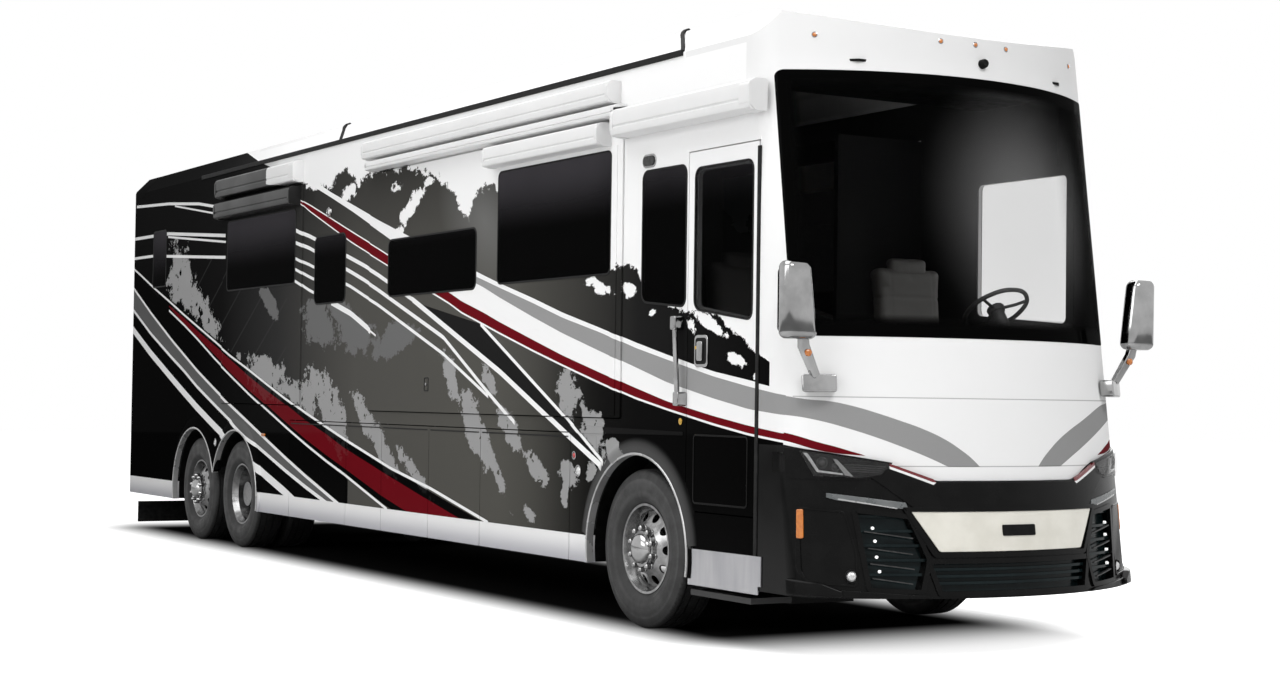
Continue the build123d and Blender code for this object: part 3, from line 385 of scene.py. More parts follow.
# the ovals of paint: distance, height, half length, half width, lean in degrees
FLAKES = [
    (9.7, 2.7, 0.32, 0.3, 0), (9.35, 2.7, 0.75, 0.3, 38), (8.65, 2.28, 0.85, 0.22, 36), (7.66, 1.87, 0.1, 0.07, 0),
    (6.85, 1.66, 0.75, 0.26, 14), (6.2, 1.52, 0.4, 0.16, 20), (5.85, 1.5, 0.34, 0.2, 30), (5.62, 1.6, 0.36, 0.18, 30),
    (5.3, 1.38, 0.6, 0.26, 42), (4.55, 1.33, 0.4, 0.14, 35), (4.2, 1.08, 0.52, 0.15, 38), (3.5, 0.88, 0.55, 0.09, 28),
    (2.8, 1.6, 0.38, 0.13, 50), (2.45, 1.3, 0.5, 0.19, 48), (2.05, 0.95, 0.42, 0.08, 50), (2.15, 1.6, 0.3, 0.09, 45),
    (1.85, 1.28, 0.34, 0.12, 40), (1.45, 1.03, 0.36, 0.11, 30), (1.53, 0.68, 0.13, 0.07, 25),
    (0.95, 1.55, 0.25, 0.18, 15), (0.6, 1.3, 0.36, 0.15, 45), (0.3, 1.15, 0.25, 0.09, 30), (0.95, 1.0, 0.18, 0.12, 0),
    (1.0, 0.86, 0.07, 0.12, 0), (0.62, 1.0, 0.14, 0.1, 0),
]
FAINT_FLAKES = [
    (5.6, 2.14, 0.55, 0.24, 18), (4.75, 2.02, 0.55, 0.2, 5), (3.95, 1.98, 0.55, 0.16, -8),
    (6.85, 2.38, 0.36, 0.12, 30), (5.1, 2.25, 0.45, 0.16, 15),
]
TEARS = [
    (5.0, 3.27, 0.26, 0.1, -15), (3.95, 3.25, 0.14, 0.09, 0), (3.65, 3.06, 0.34, 0.1, -28),
    (3.9, 2.87, 0.2, 0.07, -10), (3.33, 3.24, 0.12, 0.05, 0), (2.67, 2.97, 0.17, 0.07, 15),
    (0.55, 2.29, 0.3, 0.075, 15), (0.15, 2.25, 0.13, 0.08, 30), (-0.15, 2.08, 0.06, 0.035, 0),
    (-0.9, 1.975, 0.34, 0.055, 21), (-1.2, 1.76, 0.16, 0.065, 10), (-1.42, 1.67, 0.14, 0.05, 0),
    (-0.62, 2.0, 0.1, 0.06, 30),
]


# heights where the skirt's silver ends and the painted shade over the roof crown begins, distances
# where the lower bands begin and the ribbons end, and how far out the walls' inner faces are darkened
# as painted shade
SKIRT_TOP, CROWN_Z = 0.575, 3.9
REAR_FIELD, SWEEP_END, RED_END = 4.9, 3.35, 6.17
SHADED_INSIDE_X = 1.25


def body_paint():
    board = Board("body_paint")
    field = Livery(board)
    s, z = field.s, field.z
    torn = board.noise(4.2, 9.0, 0.76, (1.0, 0.9, 1.2))
    rag = torn - 0.5
    reach = s.smooth(5.7, 6.5, 1.0, 0.0) * s.smooth(0.1, 1.6, 0.3, 0.55)
    dark = (z < field.edge(TORN_TOP) + rag * reach) * (s > -1.56)
    dark = dark * ((field.blobs(TEARS) + rag * 3.3) < 0.4)
    shade = board.node("ShaderNodeValToRGB", {"stops": [
        (0.0, grey(0.002)), (0.08, grey(0.003)), (0.17, grey(0.011)), (0.3, (0.078, 0.076, 0.068, 1)),
        (0.48, (0.074, 0.072, 0.066, 1)), (0.6, grey(0.026)), (0.7, grey(0.005)), (1.0, grey(0.002)),
    ]}, {0: field.along})
    dim = z.smooth(2.3, 3.5, 0.0, 0.55)
    shade = board.mix(dim, shade, grey(0.01))
    # painted highlight: a soft bright oval on the charcoal field, where the glossy side catches the light
    painted_glint = field.blob(2.3, 2.85, 0.9, 0.5, 25).floor_to(0.0)
    shade = board.mix(painted_glint * 0.45, shade, grey(0.22))
    below = z < field.edge(RED_LOW)
    shade = board.mix(below * s.smooth(0.4, 1.6, 0.85, 0.0), shade, BLACK)
    slant = ((s * 0.62 + z) * 2.2).math("FRACT")
    rays = slant.between(0.0, 0.055) * (z > field.edge(BAND_A_TOP)) * s.between(6.4, 9.6) * (z < 2.9)
    shade = board.mix(rays * 0.35, shade, grey(0.045))
    colour = board.mix(dark, WHITE, shade)
    faint = ((field.blobs(FAINT_FLAKES) + rag * 2.4) > 0.25) * dark
    colour = board.mix(faint, colour, SHADE)
    specks = board.noise(7.0, 3.0, 0.6) < 0.64
    flake = ((field.blobs(FLAKES) + rag * 3.1) > 0.32) * dark * specks
    colour = board.mix(flake, colour, FLAKE)
    lines = None
    for points, width in THIN_LINES:
        stripe = field.line(points, width)
        lines = stripe if lines is None else lines.floor_to(stripe)
    ribbon = field.band(BAND_A_TOP, BAND_A_LOW, 2.67, 9.92)
    around_a = (z < field.edge(BAND_A_TOP) + 0.075) * (z > field.edge(BAND_A_LOW) - 0.06) * s.between(2.2, 10.3)
    colour = board.mix(around_a, colour, BLACK)
    colour = board.mix(ribbon, colour, CRIMSON)
    top_b, low_b = field.edge(BAND_B_TOP), field.edge(BAND_B_LOW)
    behind = s > REAR_FIELD
    colour = board.mix((z < field.edge(BAND_A_LOW) - 0.04) * behind, colour, BLACK)
    colour = board.mix((z < top_b + 0.032) * (z > low_b - 0.036) * behind, colour, WHITE)
    colour = board.mix((z < top_b) * (z > low_b) * behind, colour, SMOKE)
    line_c = field.edge(BAND_C)
    colour = board.mix((abs(z - line_c) < 0.041) * behind, colour, WHITE)
    wedge = field.band([(3.4, 2.25), (2.35, 2.07), (1.0, 1.385), (0.44, 1.07)],
        [(3.6, 2.3), (2.0, 1.7), (1.0, 1.27), (0.46, 1.045)], 0.5, 3.4)
    colour = board.mix(wedge, colour, grey(0.012))
    sweep = s < SWEEP_END
    red_top, red_low = field.edge(RED_TOP), field.edge(RED_LOW)
    grey_top, grey_low = field.edge(GREY_TOP), field.edge(GREY_LOW)
    white_top = field.edge(WHITE_TOP)
    colour = board.mix((z < white_top) * (z > red_low - 0.014) * sweep, colour, WHITE)
    colour = board.mix((z < grey_top) * (z > grey_low) * sweep, colour, SILVER)
    upper = (z < white_top) * (z > field.edge(UPPER_LOW)) * s.between(3.3, RED_END)
    colour = board.mix(upper, colour, WHITE)
    colour = board.mix(lines, colour, WHITE)
    red = (z < red_top) * (z > red_low) * (s < RED_END)
    colour = board.mix((z < red_top + 0.012) * (z > red_low - 0.012) * s.between(-1.5, RED_END), colour, WHITE)
    colour = board.mix(red, colour, CRIMSON)
    skirt = (z < SKIRT_TOP) * (s > 0.5)
    colour = board.mix(skirt, colour, board.mix(z.smooth(0.38, 0.56), (0.42, 0.42, 0.45, 1.0), grey(0.78)))
    # painted shade: the white roof crown above CROWN_Z is greyed, to temper the strong light from above
    colour = board.mix((z > CROWN_Z) * (s < 7.6), colour, grey(0.74))
    # painted highlight: the proud lip of the front arch flares is lightened, standing in for the light it catches
    proud = field.x.smooth(1.2915, 1.312) * z.between(SKIRT_TOP, 1.34) * s.between(-0.95, 0.95) * 0.6
    colour = board.mix(proud, colour, grey(0.1))
    # painted shade: the walls' inner faces are darkened, standing in for the shade inside the coach
    inside = (field.x < SHADED_INSIDE_X) * s.between(-1.7, 11.1) * z.between(0.62, 3.72)
    colour = board.mix(inside, colour, grey(0.035))
    peel = board.noise(90.0, 2.0)
    return board.finish(
        colour=colour, rough=0.22 + flake * 0.14 + skirt * 0.12, metal=flake * 0.2 + skirt * 0.2,
        coat=s.smooth(6.6, 9.4, 0.03, 0.01), coat_rough=0.03, normal=board.bump(peel, 0.03, 0.001), specular=0.0,
    )


NOSE_S, NOSE_BOW = -2.33, 2.0


def nose_paint():
    """The front shell: white, with the grey ribbon and the red line coming round from the side."""
    board = Board("nose_paint")
    field = Livery(board)
    s, z, x = field.s, field.z, field.x
    round_front = s < -1.66
    grey_top = field.edge([
        (1.29, 1.552), (1.196, 1.53), (1.073, 1.518), (0.956, 1.491), (0.836, 1.453), (0.72, 1.413),
        (0.576, 1.361), (0.437, 1.296), (0.341, 1.235), (0.281, 1.19), (0.2, 1.11),
    ], "across")
    grey_low = field.edge([(1.29, 1.437), (1.137, 1.404), (0.991, 1.359), (0.873, 1.318), (0.719, 1.259),
        (0.555, 1.192), (0.424, 1.133), (0.35, 1.1)], "across")
    red_top = field.edge([(1.29, 1.335), (1.167, 1.284), (1.067, 1.253), (0.993, 1.228), (0.915, 1.201), (0.88, 1.18)],
        "across")
    red_low = field.edge([(1.29, 1.287), (1.168, 1.235), (1.07, 1.214), (0.995, 1.207), (0.915, 1.201), (0.88, 1.2)],
        "across")
    foot = field.edge([(1.29, 1.262), (1.236, 1.241), (1.094, 1.212), (0.945, 1.182), (0.78, 1.154), (0.555, 1.05)],
        "across")
    tops = [(field.edge(GREY_TOP), grey_top), (field.edge(GREY_LOW), grey_low), (field.edge(RED_TOP), red_top),
        (field.edge(RED_LOW), red_low)]
    gt, gl, rt, rl = (side + (nose - side) * round_front for side, nose in tops)
    torn = board.noise(1.9, 7.0, 0.62, (1.0, 0.8, 1.25))
    dark = (z < field.edge(TORN_TOP) + (torn - 0.5) * 0.3) * (s > -1.52)
    # painted shade: the white greys towards the top of the nose, to temper the light that falls on it from above
    colour = board.mix(dark, board.mix(z.smooth(3.3, 3.7), WHITE, grey(0.7)), BLACK)
    colour = board.mix(z < gt + 0.034, colour, WHITE)
    colour = board.mix((z < gt) * (z > gl) * (z > 1.14), colour, SILVER)
    colour = board.mix((z < rt) * (z > rl), colour, CRIMSON)
    low = (rl - 0.014) + (foot - rl + 0.014) * round_front
    colour = board.mix((z < low) * (x > 0.56), colour, BLACK)
    seam_line = ((abs(z - 1.545) < 0.003) + (abs(z - 1.142) < 0.003)).cap_to(1.0) * (s < -1.7)
    colour = board.mix(seam_line * 0.55, colour, grey(0.1))
    # painted shade: the front shell's inner faces are darkened, standing in for the shade inside the cab
    depth = NOSE_BOW - (NOSE_BOW ** 2 - x * x).math("SQRT")
    behind = s - (NOSE_S + depth + (z - 0.375) * 0.14)
    inside = (x < SHADED_INSIDE_X) * (behind > 0.047) * z.between(0.6, 3.72)
    colour = board.mix(inside, colour, grey(0.02))
    peel = board.noise(90.0, 2.0)
    return board.finish(colour=colour, rough=0.22, coat=0.05, coat_rough=0.03, specular=0.0,
        normal=board.bump(peel, 0.03, 0.001))


body_finish, nose_finish = body_paint(), nose_paint()
print("livery nodes", len(body_finish.node_tree.nodes), len(nose_finish.node_tree.nodes))

# %% [markdown]
# The other finishes. Each starts from its real surface: cast and brushed metal vary in roughness,
# rubber is never one flat black, glass is dark with a soft gradient, and leather has a grain.

# %% Plain finishes
def simple_finish(name, low, high, rough, metal=0.0, scale=14.0, grain=0.0, grain_scale=220.0, coat=0.0,
    stretch=(1, 1, 1)):
    """A clouded mix of two colours, with a little grain."""
    board = Board(name)
    cloud = board.noise(scale, 4.0, 0.55, stretch)
    colour = board.mix(cloud.smooth(0.3, 0.7), low, high)
    sockets = dict(colour=colour, rough=cloud.smooth(0.25, 0.75, rough * 0.85, rough * 1.15), metal=metal)
    if grain:
        sockets["normal"] = board.bump(board.noise(grain_scale, 3.0, 0.6, stretch), grain, 0.002)
    if coat:
        sockets["coat"] = coat
    if low[0] < 0.05 and not metal:
        sockets["specular"] = 0.08
    return board.finish(**sockets)


def glass_finish(name, tint, alpha, clear=None):
    """Tinted glass, a little lighter towards its top. Clear gives a second alpha for the driver's panes."""
    board = Board(name)
    x, y, z = board.position()
    cloud = board.noise(0.8, 2.0)
    colour = board.mix(z.smooth(2.72, 3.3) * cloud.smooth(0.2, 0.6, 0.6, 1.0), grey(tint * 0.1),
        (tint * 5.2, tint * 4.9, tint * 5.5, 1.0))
    if clear is not None:
        driver = (x > 0.0) * (y - FRONT_AXLE_Y < 0.0)
        alpha = driver * (clear - alpha) + alpha
    return board.finish(colour=colour, rough=0.03, alpha=alpha, specular=0.0, coat=0.02)


def leather_finish(name, low, high):
    board = Board(name)
    board.position()
    cells = board.node("ShaderNodeTexVoronoi", {"feature": "DISTANCE_TO_EDGE"}, {"Vector": board.where, "Scale": 420.0})
    tone = board.noise(6.0, 4.0)
    colour = board.mix(tone, low, high)
    return board.finish(colour=colour, rough=tone.smooth(0.2, 0.8, 0.42, 0.6), normal=board.bump(cells, 0.35, 0.0015))


def windshield_finish():
    """A dark screen with a printed black border and a painted reflection of the sky on the raked glass."""
    board = Board("windshield_glass")
    x, y, z = board.position()
    side = abs(x)
    border = side.smooth(1.1, 1.18).floor_to(z.smooth(3.38, 3.47)).floor_to(z.smooth(2.06, 1.97))
    clear = board.noise(0.7, 2.0)
    # painted reflection: a soft pale patch where the raked glass would mirror the sky, a little more opaque so that it
    # shows
    painted_sky_reflection = board.node("ShaderNodeCombineXYZ", {}, {0: (x - 0.3) * 1.15, 1: 0.0, 2: z - 2.72})
    painted_sky_reflection = board.node("ShaderNodeVectorMath", {"operation": "LENGTH"}, {0: painted_sky_reflection}, "Value").smooth(0.95, 0.1)
    alpha = (painted_sky_reflection * 0.1 + x.smooth(0.66, 1.08, 0.11, 0.55)).floor_to(border)
    colour = board.mix(border, board.mix(painted_sky_reflection, board.mix(clear, grey(0.001), grey(0.003)), grey(0.3)), grey(0.001))
    return board.finish(colour=colour, rough=0.03, alpha=alpha, specular=0.0, coat=0.03)


def awning_finish():
    board = Board("awning_aluminium")
    x, y, z = board.position()
    cloud = board.noise(3.0, 3.0)
    s = y - FRONT_AXLE_Y
    rear_dark = (s > z.smooth(3.42, 3.5) * 0.75 + 6.0) * (x < 0.0)
    colour = board.mix(rear_dark, board.mix(cloud, grey(0.62), grey(0.7)), grey(0.014))
    return board.finish(colour=colour, rough=cloud.smooth(0.2, 0.8, 0.3, 0.42), coat=0.06, specular=0.15)


def lens_finish():
    """Lamp covers: clear over the headlamps, ruby on the tail."""
    board = Board("lamp_cover")
    x, y, z = board.position()
    rib = (z * 60.0).math("FRACT").smooth(0.3, 0.7)
    tail = y > 0.0
    colour = board.mix(tail, grey(0.03), board.mix(rib, (0.3, 0.004, 0.006, 1.0), (0.42, 0.01, 0.01, 1.0)))
    return board.finish(colour=colour, rough=0.05, alpha=tail * 0.8 + 0.18, coat=0.3,
        normal=board.bump(rib * tail, 0.3, 0.002))


def lit_finish():
    """A small white lamp with a faint prism pattern."""
    board = Board("white_lamp")
    prism = board.noise(300.0, 1.0)
    colour = board.mix(prism, grey(0.75), grey(0.92))
    return board.finish(colour=colour, rough=0.1, glow=colour, glow_power=0.6)


# key: name, the two colours, roughness, metal, cloud scale, grain, grain scale, coat and stretch
PLAIN = {
    "chrome": ("polished_chrome", grey(0.28), grey(0.4), 0.08, 1.0, 5.0),
    "alloy": ("polished_alloy", grey(0.22), grey(0.34), 0.22, 1.0, 18.0, 0.05),
    "steel": ("frame_steel", grey(0.012), grey(0.03), 0.55, 0.2, 7.0, 0.15),
    "cast": ("cast_metal", grey(0.03), grey(0.07), 0.6, 0.5, 11.0, 0.3, 150.0),
    "deck": ("deck_board", (0.09, 0.065, 0.045, 1), (0.15, 0.11, 0.075, 1),
             0.5, 0.0, 5.0, 0.1, 90.0, 0.0, (8, 0.6, 8)),
    "rubber": ("gasket_rubber", grey(0.008), grey(0.018), 0.6, 0.0, 20.0, 0.2),
    "trim": ("black_moulding", grey(0.003), grey(0.007), 0.42, 0.0, 16.0, 0.2, 300.0),
    "gloss_black": ("bumper_black", grey(0.002), grey(0.004), 0.14, 0.0, 6.0, 0.0, 90.0, 0.05),
    "silver": ("satin_silver", (0.1, 0.108, 0.11, 1), (0.15, 0.158, 0.16, 1), 0.28, 0.5, 9.0, 0.04),
    "cream": ("cream_panel", (0.66, 0.64, 0.57, 1), (0.74, 0.72, 0.65, 1), 0.22, 0.0, 5.0, 0.0, 90.0, 0.5),
    "white": ("white_gelcoat", grey(0.72), grey(0.8), 0.25, 0.0, 5.0, 0.02, 90.0, 0.6),
    "grille": ("tinted_blades", (0.004, 0.008, 0.009, 1), (0.008, 0.014, 0.015, 1), 0.18, 0.0, 8.0, 0.0, 90.0, 0.05),
    "amber": ("amber_lens", (0.45, 0.12, 0.01, 1), (0.55, 0.17, 0.012, 1), 0.12, 0.0, 60.0, 0.2, 400.0, 0.8),
    "bead": ("arch_bead", grey(0.34), grey(0.46), 0.28, 0.5, 4.0, 0.0, 90.0, 0.3),
    "rocker": ("polished_rocker", (0.3, 0.3, 0.32, 1), grey(0.52), 0.2, 0.4, 1.3, 0.0, 90.0, 0.0, (1, 2, 0.4)),
    "slat_edge": ("slat_edge", grey(0.035), grey(0.06), 0.2, 0.0, 30.0),
    "lens_glass": ("projector_glass", grey(0.02), grey(0.05), 0.06, 0.0, 40.0, 0.0, 90.0, 0.8),
    "ruby": ("red_lens", (0.35, 0.006, 0.008, 1), (0.5, 0.015, 0.015, 1), 0.12, 0.0, 60.0, 0.2, 400.0, 0.8),
    "bright": ("clear_reflector", grey(0.5), grey(0.72), 0.1, 0.4, 60.0, 0.2, 400.0, 0.8),
    "gold": ("brass_lock", (0.55, 0.33, 0.06, 1), (0.7, 0.45, 0.1, 1), 0.25, 1.0),
}
FINISH = {key: simple_finish(*row) for key, row in PLAIN.items()}
FINISH.update({
    "lit": lit_finish(),
    "leather": leather_finish("seat_leather", (0.095, 0.092, 0.088, 1), (0.135, 0.131, 0.125, 1)),
    "dash": leather_finish("dash_skin", grey(0.018), grey(0.03)),
    "window": glass_finish("tinted_window", 0.01, 0.96, clear=0.03),
    "door_window": glass_finish("door_window", 0.006, 0.6),
    "screen": windshield_finish(),
    "lens": lens_finish(),
    "awning": awning_finish(),
})
print("finishes", len(FINISH))

# %% [markdown]
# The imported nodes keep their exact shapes, so most of them only need the right finish in their slots.

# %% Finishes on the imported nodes
def dress(name, finish):
    slots = nodes[name].data.materials
    slots.clear()
    slots.append(finish)


NODE_FINISH = {
    "windshield": "screen", "front_bumper": "gloss_black", "inlet_grilles": "grille", "lamps": "lens",
    "floor_panels": "deck", "bay_bulkheads": "steel", "stair_well": "trim", "frame_rails": "steel",
    "frame_members": "steel", "leveling_jacks": "steel", "engine_block": "cast", "axles": "cast",
    "air_springs": "rubber", "rock_guard": "rubber", "dashboard": "dash", "steering_wheel": "dash",
    "front_seats": "leather", "awning_cases": "awning", "mirrors": "chrome", "roof_air_units": "white",
    "entry_step": "steel", "entry_door_glass": "door_window", "side_windows": "window",
}
for name in nodes:
    if name in NODE_FINISH:
        dress(name, FINISH[NODE_FINISH[name]])
    elif name.endswith("_glass"):
        dress(name, FINISH["window"])
    elif "tyre" in name:
        dress(name, FINISH["rubber"])
    elif "rim" in name:
        dress(name, FINISH["alloy"])
    elif name.startswith("knuckle"):
        dress(name, FINISH["cast"])
    elif name == "front_cap":
        dress(name, nose_finish)
    else:
        dress(name, body_finish)
print("nodes dressed", len(nodes))

# %% [markdown]
# A studio: a white floor that fades into a white surround, with the coach's shadow painted dark on the
# floor under it, a large soft light above and one on each side. The surround shows white to the camera
# and in reflections, and lights the coach only mildly.

# %% Studio
def make_studio():
    bm = bmesh.new()
    bmesh.ops.create_grid(bm, x_segments=2, y_segments=2, size=60.0)
    mesh = bpy.data.meshes.new("studio_floor")
    bm.to_mesh(mesh)
    bm.free()
    floor = bpy.data.objects.new("studio_floor", mesh)
    bpy.context.collection.objects.link(floor)
    board = Board("floor_white_painted_shadow")
    shade = board.noise(0.3, 2.0)
    x, y, z = board.position()
    across, along = (abs(x) - 0.95).floor_to(0.0), (y - 6.2).floor_to(-5.0 - y).floor_to(0.0)
    far = (across * across + along * along * 0.5).math("SQRT").smooth(0.05, 1.0)
    seen = board.node("ShaderNodeLightPath", {}, {}, "Is Camera Ray")
    glow = board.mix(seen * far, grey(0.0), grey(0.9))
    # painted shadow: the floor under and just round the coach is coloured near black, so the shadow there stays dark
    colour = board.mix(far, grey(0.012), board.mix(shade, grey(0.86), grey(0.88)))
    mesh.materials.append(board.finish(colour=colour, rough=0.9, specular=0.0, glow=glow, glow_power=1.0))
    world = bpy.data.worlds.new("surround")
    world.use_nodes = True
    bpy.context.scene.world = world
    tree = world.node_tree
    shown, lit = tree.nodes["Background"], tree.nodes.new("ShaderNodeBackground")
    kinds = ("LightPath", "Math", "Math", "MixShader")
    path, either, any_of, pick = (tree.nodes.new("ShaderNode" + kind) for kind in kinds)
    either.operation = any_of.operation = "MAXIMUM"
    for backdrop, strength in ((shown, 1.0), (lit, 0.32)):
        backdrop.inputs[0].default_value, backdrop.inputs[1].default_value = (1, 1, 1, 1), strength
    for source, target in (
        (path.outputs["Is Camera Ray"], either.inputs[0]), (path.outputs["Is Transmission Ray"], either.inputs[1]),
        (either.outputs[0], any_of.inputs[0]), (path.outputs["Is Glossy Ray"], any_of.inputs[1]),
        (any_of.outputs[0], pick.inputs[0]), (lit.outputs[0], pick.inputs[1]), (shown.outputs[0], pick.inputs[2]),
        (pick.outputs[0], tree.nodes["World Output"].inputs[0]),
    ):
        tree.links.new(source, target)


def soft_light(name, place, aim, size, watts):
    data = bpy.data.lights.new(name, "AREA")
    data.shape, data.size, data.size_y, data.energy = "RECTANGLE", size[0], size[1], watts
    lamp = bpy.data.objects.new(name, data)
    turn = (Vector(aim) - Vector(place)).to_track_quat("-Z", "Y")
    lamp.matrix_world = Matrix.LocRotScale(Vector(place), turn, None)
    bpy.context.collection.objects.link(lamp)


# each lamp: name, place, aim, size, watts
LAMPS = [
    ("overhead", (-2.0, -2.0, 11.0), (0.0, -1.0, 0.0), (9.0, 16.0), 1200.0),
    ("front_high", (-1.0, -17.0, 12.0), (0.0, -6.0, 2.0), (10.0, 4.0), 1200.0),
    ("door_side", (-14.0, -6.0, 6.5), (-1.3, 0.0, 1.6), (14.0, 5.0), 640.0),
    ("far_side", (14.0, 6.0, 6.5), (1.3, 1.0, 1.6), (14.0, 5.0), 420.0),
]
make_studio()
for row in LAMPS:
    soft_light(*row)
print("lamps", len(LAMPS))

# %% [markdown]
# Most fittings start as a flat outline that is cut, given a thickness and then laid on the body. The
# helpers below turn a bmesh into a finished piece, round an outline's corners, and know the bowed,
# raked surface of the nose so that a flat plate can be wrapped over it.

# %% Piece helpers
def finish_piece(bm, name, finish, body="coach", bevel=0.0, angle=35.0):
    """Turns a bmesh into an object that rides on a body."""
    bmesh.ops.remove_doubles(bm, verts=bm.verts, dist=1e-5)
    bmesh.ops.recalc_face_normals(bm, faces=bm.faces)
    mesh = bpy.data.meshes.new(name)
    bm.to_mesh(mesh)
    bm.free()
    mesh.materials.append(FINISH.get(finish, finish) if isinstance(finish, str) else finish)
    for polygon in mesh.polygons:
        polygon.use_smooth = True
    mesh.set_sharp_from_angle(angle=math.radians(angle))
    piece = bpy.data.objects.new(name, mesh)
    bpy.context.collection.objects.link(piece)
    if bevel:
        edge = piece.modifiers.new("edge", "BEVEL")
        edge.width, edge.segments, edge.limit_method, edge.angle_limit = bevel, 2, "ANGLE", math.radians(40)
        edge.harden_normals = True
    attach(piece, body)
    return piece


def flat_face(bm, points, radius=0.0, steps=5):
    """One face in the bmesh from an outline of 3-D points, its corners rounded."""
    face = bm.faces.new([bm.verts.new(point) for point in points])
    if radius:
        bmesh.ops.bevel(
            bm, geom=list(face.verts), offset=radius, segments=steps, profile=0.5, affect="VERTICES", material=-1,
        )


def keep_rim(bm, width):
    """Cuts the middle out of a sheet, so that a frame of one width is left."""
    if width:
        rim = bmesh.ops.inset_region(
            bm, faces=list(bm.faces), thickness=width, use_even_offset=True, use_boundary=True,
        )
        inside = [face for face in bm.faces if face not in rim["faces"]]
        bmesh.ops.delete(bm, geom=inside, context="FACES")


def rect(x0, x1, z0, z1):
    """The four corners of an upright rectangle."""
    return [(x0, z0), (x1, z0), (x1, z1), (x0, z1)]


SIDES = ((-1, "right"), (1, "left"))


def thicken(bm, move):
    """Extrudes every face of the sheet by a vector, which makes a closed plate."""
    grown = bmesh.ops.extrude_face_region(bm, geom=list(bm.faces), use_keep_orig=True)
    tops = [item for item in grown["geom"] if isinstance(item, bmesh.types.BMVert)]
    bmesh.ops.translate(bm, verts=tops, vec=move)


def side_plate(name, outline, inner, outer, finish, body="coach", side=-1, radius=0.0, bevel=0.002, ring=0.0):
    """A plate on the coach's side: outline as (distance, height), reach as two x values."""
    bm = bmesh.new()
    flat_face(bm, [(side * inner, FRONT_AXLE_Y + s, z) for s, z in outline], radius)
    keep_rim(bm, ring)
    thicken(bm, (side * (outer - inner), 0, 0))
    return finish_piece(bm, name, finish, body, bevel)


NOSE_Y, BOW, CORNER, RAKE, BASE_Z = -6.85, 2.0, 0.25, 0.14, 0.375
CORNER_X = HALF_WIDTH - CORNER
CORNER_Y = BOW - math.sqrt((BOW - CORNER) ** 2 - CORNER_X ** 2)
BOW_X = CORNER_X * BOW / (BOW - CORNER)


def on_nose(x, z, lift):
    """The point of the nose at a given x and height, lifted off it."""
    side = math.copysign(1.0, x)
    reach = min(abs(x), HALF_WIDTH - 0.0005)
    if reach <= BOW_X:
        normal = (reach / BOW, -math.sqrt(1 - (reach / BOW) ** 2))
        depth = BOW - math.sqrt(BOW ** 2 - reach ** 2)
    else:
        t = (reach - CORNER_X) / CORNER
        normal = (t, -math.sqrt(1 - t * t))
        depth = CORNER_Y - CORNER * math.sqrt(1 - t * t)
    y = NOSE_Y + depth + RAKE * (z - BASE_Z) + normal[1] * lift
    return Vector((side * (reach + normal[0] * lift), y, z))


def nose_plate(name, outline, low, high, finish, radius=0.0, bevel=0.002, ring=0.0, step=0.04):
    """A plate wrapped over the nose: outline as (x, height), lift as two distances from the surface."""
    bm = bmesh.new()
    flat_face(bm, [(x, 0.0, z) for x, z in outline], radius)
    keep_rim(bm, ring)
    left, right = min(p[0] for p in outline), max(p[0] for p in outline)
    cuts = int((right - left) / step) + 1
    for number in range(1, cuts):
        plane = (left + (right - left) * number / cuts, 0, 0)
        bmesh.ops.bisect_plane(bm, geom=bm.verts[:] + bm.edges[:] + bm.faces[:], dist=1e-5, plane_co=plane,
            plane_no=(1, 0, 0))
    thicken(bm, (0, 1, 0))
    for vert in bm.verts:
        vert.co = on_nose(vert.co.x, vert.co.z, high if vert.co.y > 0.5 else low)
    return finish_piece(bm, name, finish, "coach", bevel)


def both(maker):
    """Runs a maker for the right side and the left side."""
    return [maker(side, word) for side, word in SIDES]


def rod(name, points, thick, finish, closed=False):
    """A round rod along a smooth line through a few points."""
    curve = bpy.data.curves.new(name, "CURVE")
    curve.dimensions, curve.bevel_depth, curve.bevel_resolution, curve.use_fill_caps = "3D", thick, 4, True
    line = curve.splines.new("BEZIER")
    line.bezier_points.add(len(points) - 1)
    for knot, point in zip(line.bezier_points, points):
        knot.co = point
        knot.handle_left_type = knot.handle_right_type = "AUTO"
    line.use_cyclic_u = closed
    curve.materials.append(FINISH[finish])
    piece = bpy.data.objects.new(name, curve)
    bpy.context.collection.objects.link(piece)
    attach(piece, "coach")
    return piece


def turn_about(bm, profile, centre, axis, steps=48):
    """Spins a profile of (along the axis, radius) pairs about an axis through a centre."""
    axis = Vector(axis).normalized()
    across = axis.orthogonal().normalized() if abs(axis.x) < 0.9 else Vector((0, 0, 1))
    verts = [bm.verts.new(Vector(centre) + axis * u + across * r) for u, r in profile]
    edges = [bm.edges.new(pair) for pair in zip(verts, verts[1:])]
    bmesh.ops.spin(bm, geom=verts + edges, cent=centre, axis=axis, angle=math.tau, steps=steps, use_merge=True)
    bmesh.ops.remove_doubles(bm, verts=bm.verts, dist=1e-5)


def turned_piece(name, profile, centre, axis, finish, body="coach", steps=48):
    bm = bmesh.new()
    turn_about(bm, profile, centre, axis, steps)
    return finish_piece(bm, name, finish, body)


def cut_plate(name, points, move, finish, body="coach", bevel=0.0, radius=0.0, steps=5):
    """A plate from a flat outline of 3-D points, thickened by a vector."""
    bm = bmesh.new()
    flat_face(bm, points, radius, steps)
    thicken(bm, move)
    return finish_piece(bm, name, finish, body, bevel)


print("nose corner starts at", round(BOW_X, 3))

# %% [markdown]
# Tyres: the sidewall has a raised rim protector and rings, and the tread has four grooves. One
# profile is spun about the axle; the fine cross-grooves are bump in the rubber's material, with their
# shade painted in dark.

# %% Tyres
AXLES = {"front": -4.52, "drive": 3.22, "tag": 4.45}
HUB_Z = 0.528
TRACKS = {"front": (1.108,), "drive": (1.1, 0.755), "tag": (1.1,)}


def wheel_body(label, word):
    return label + ("_wheels_" if label == "drive" else "_wheel_") + word


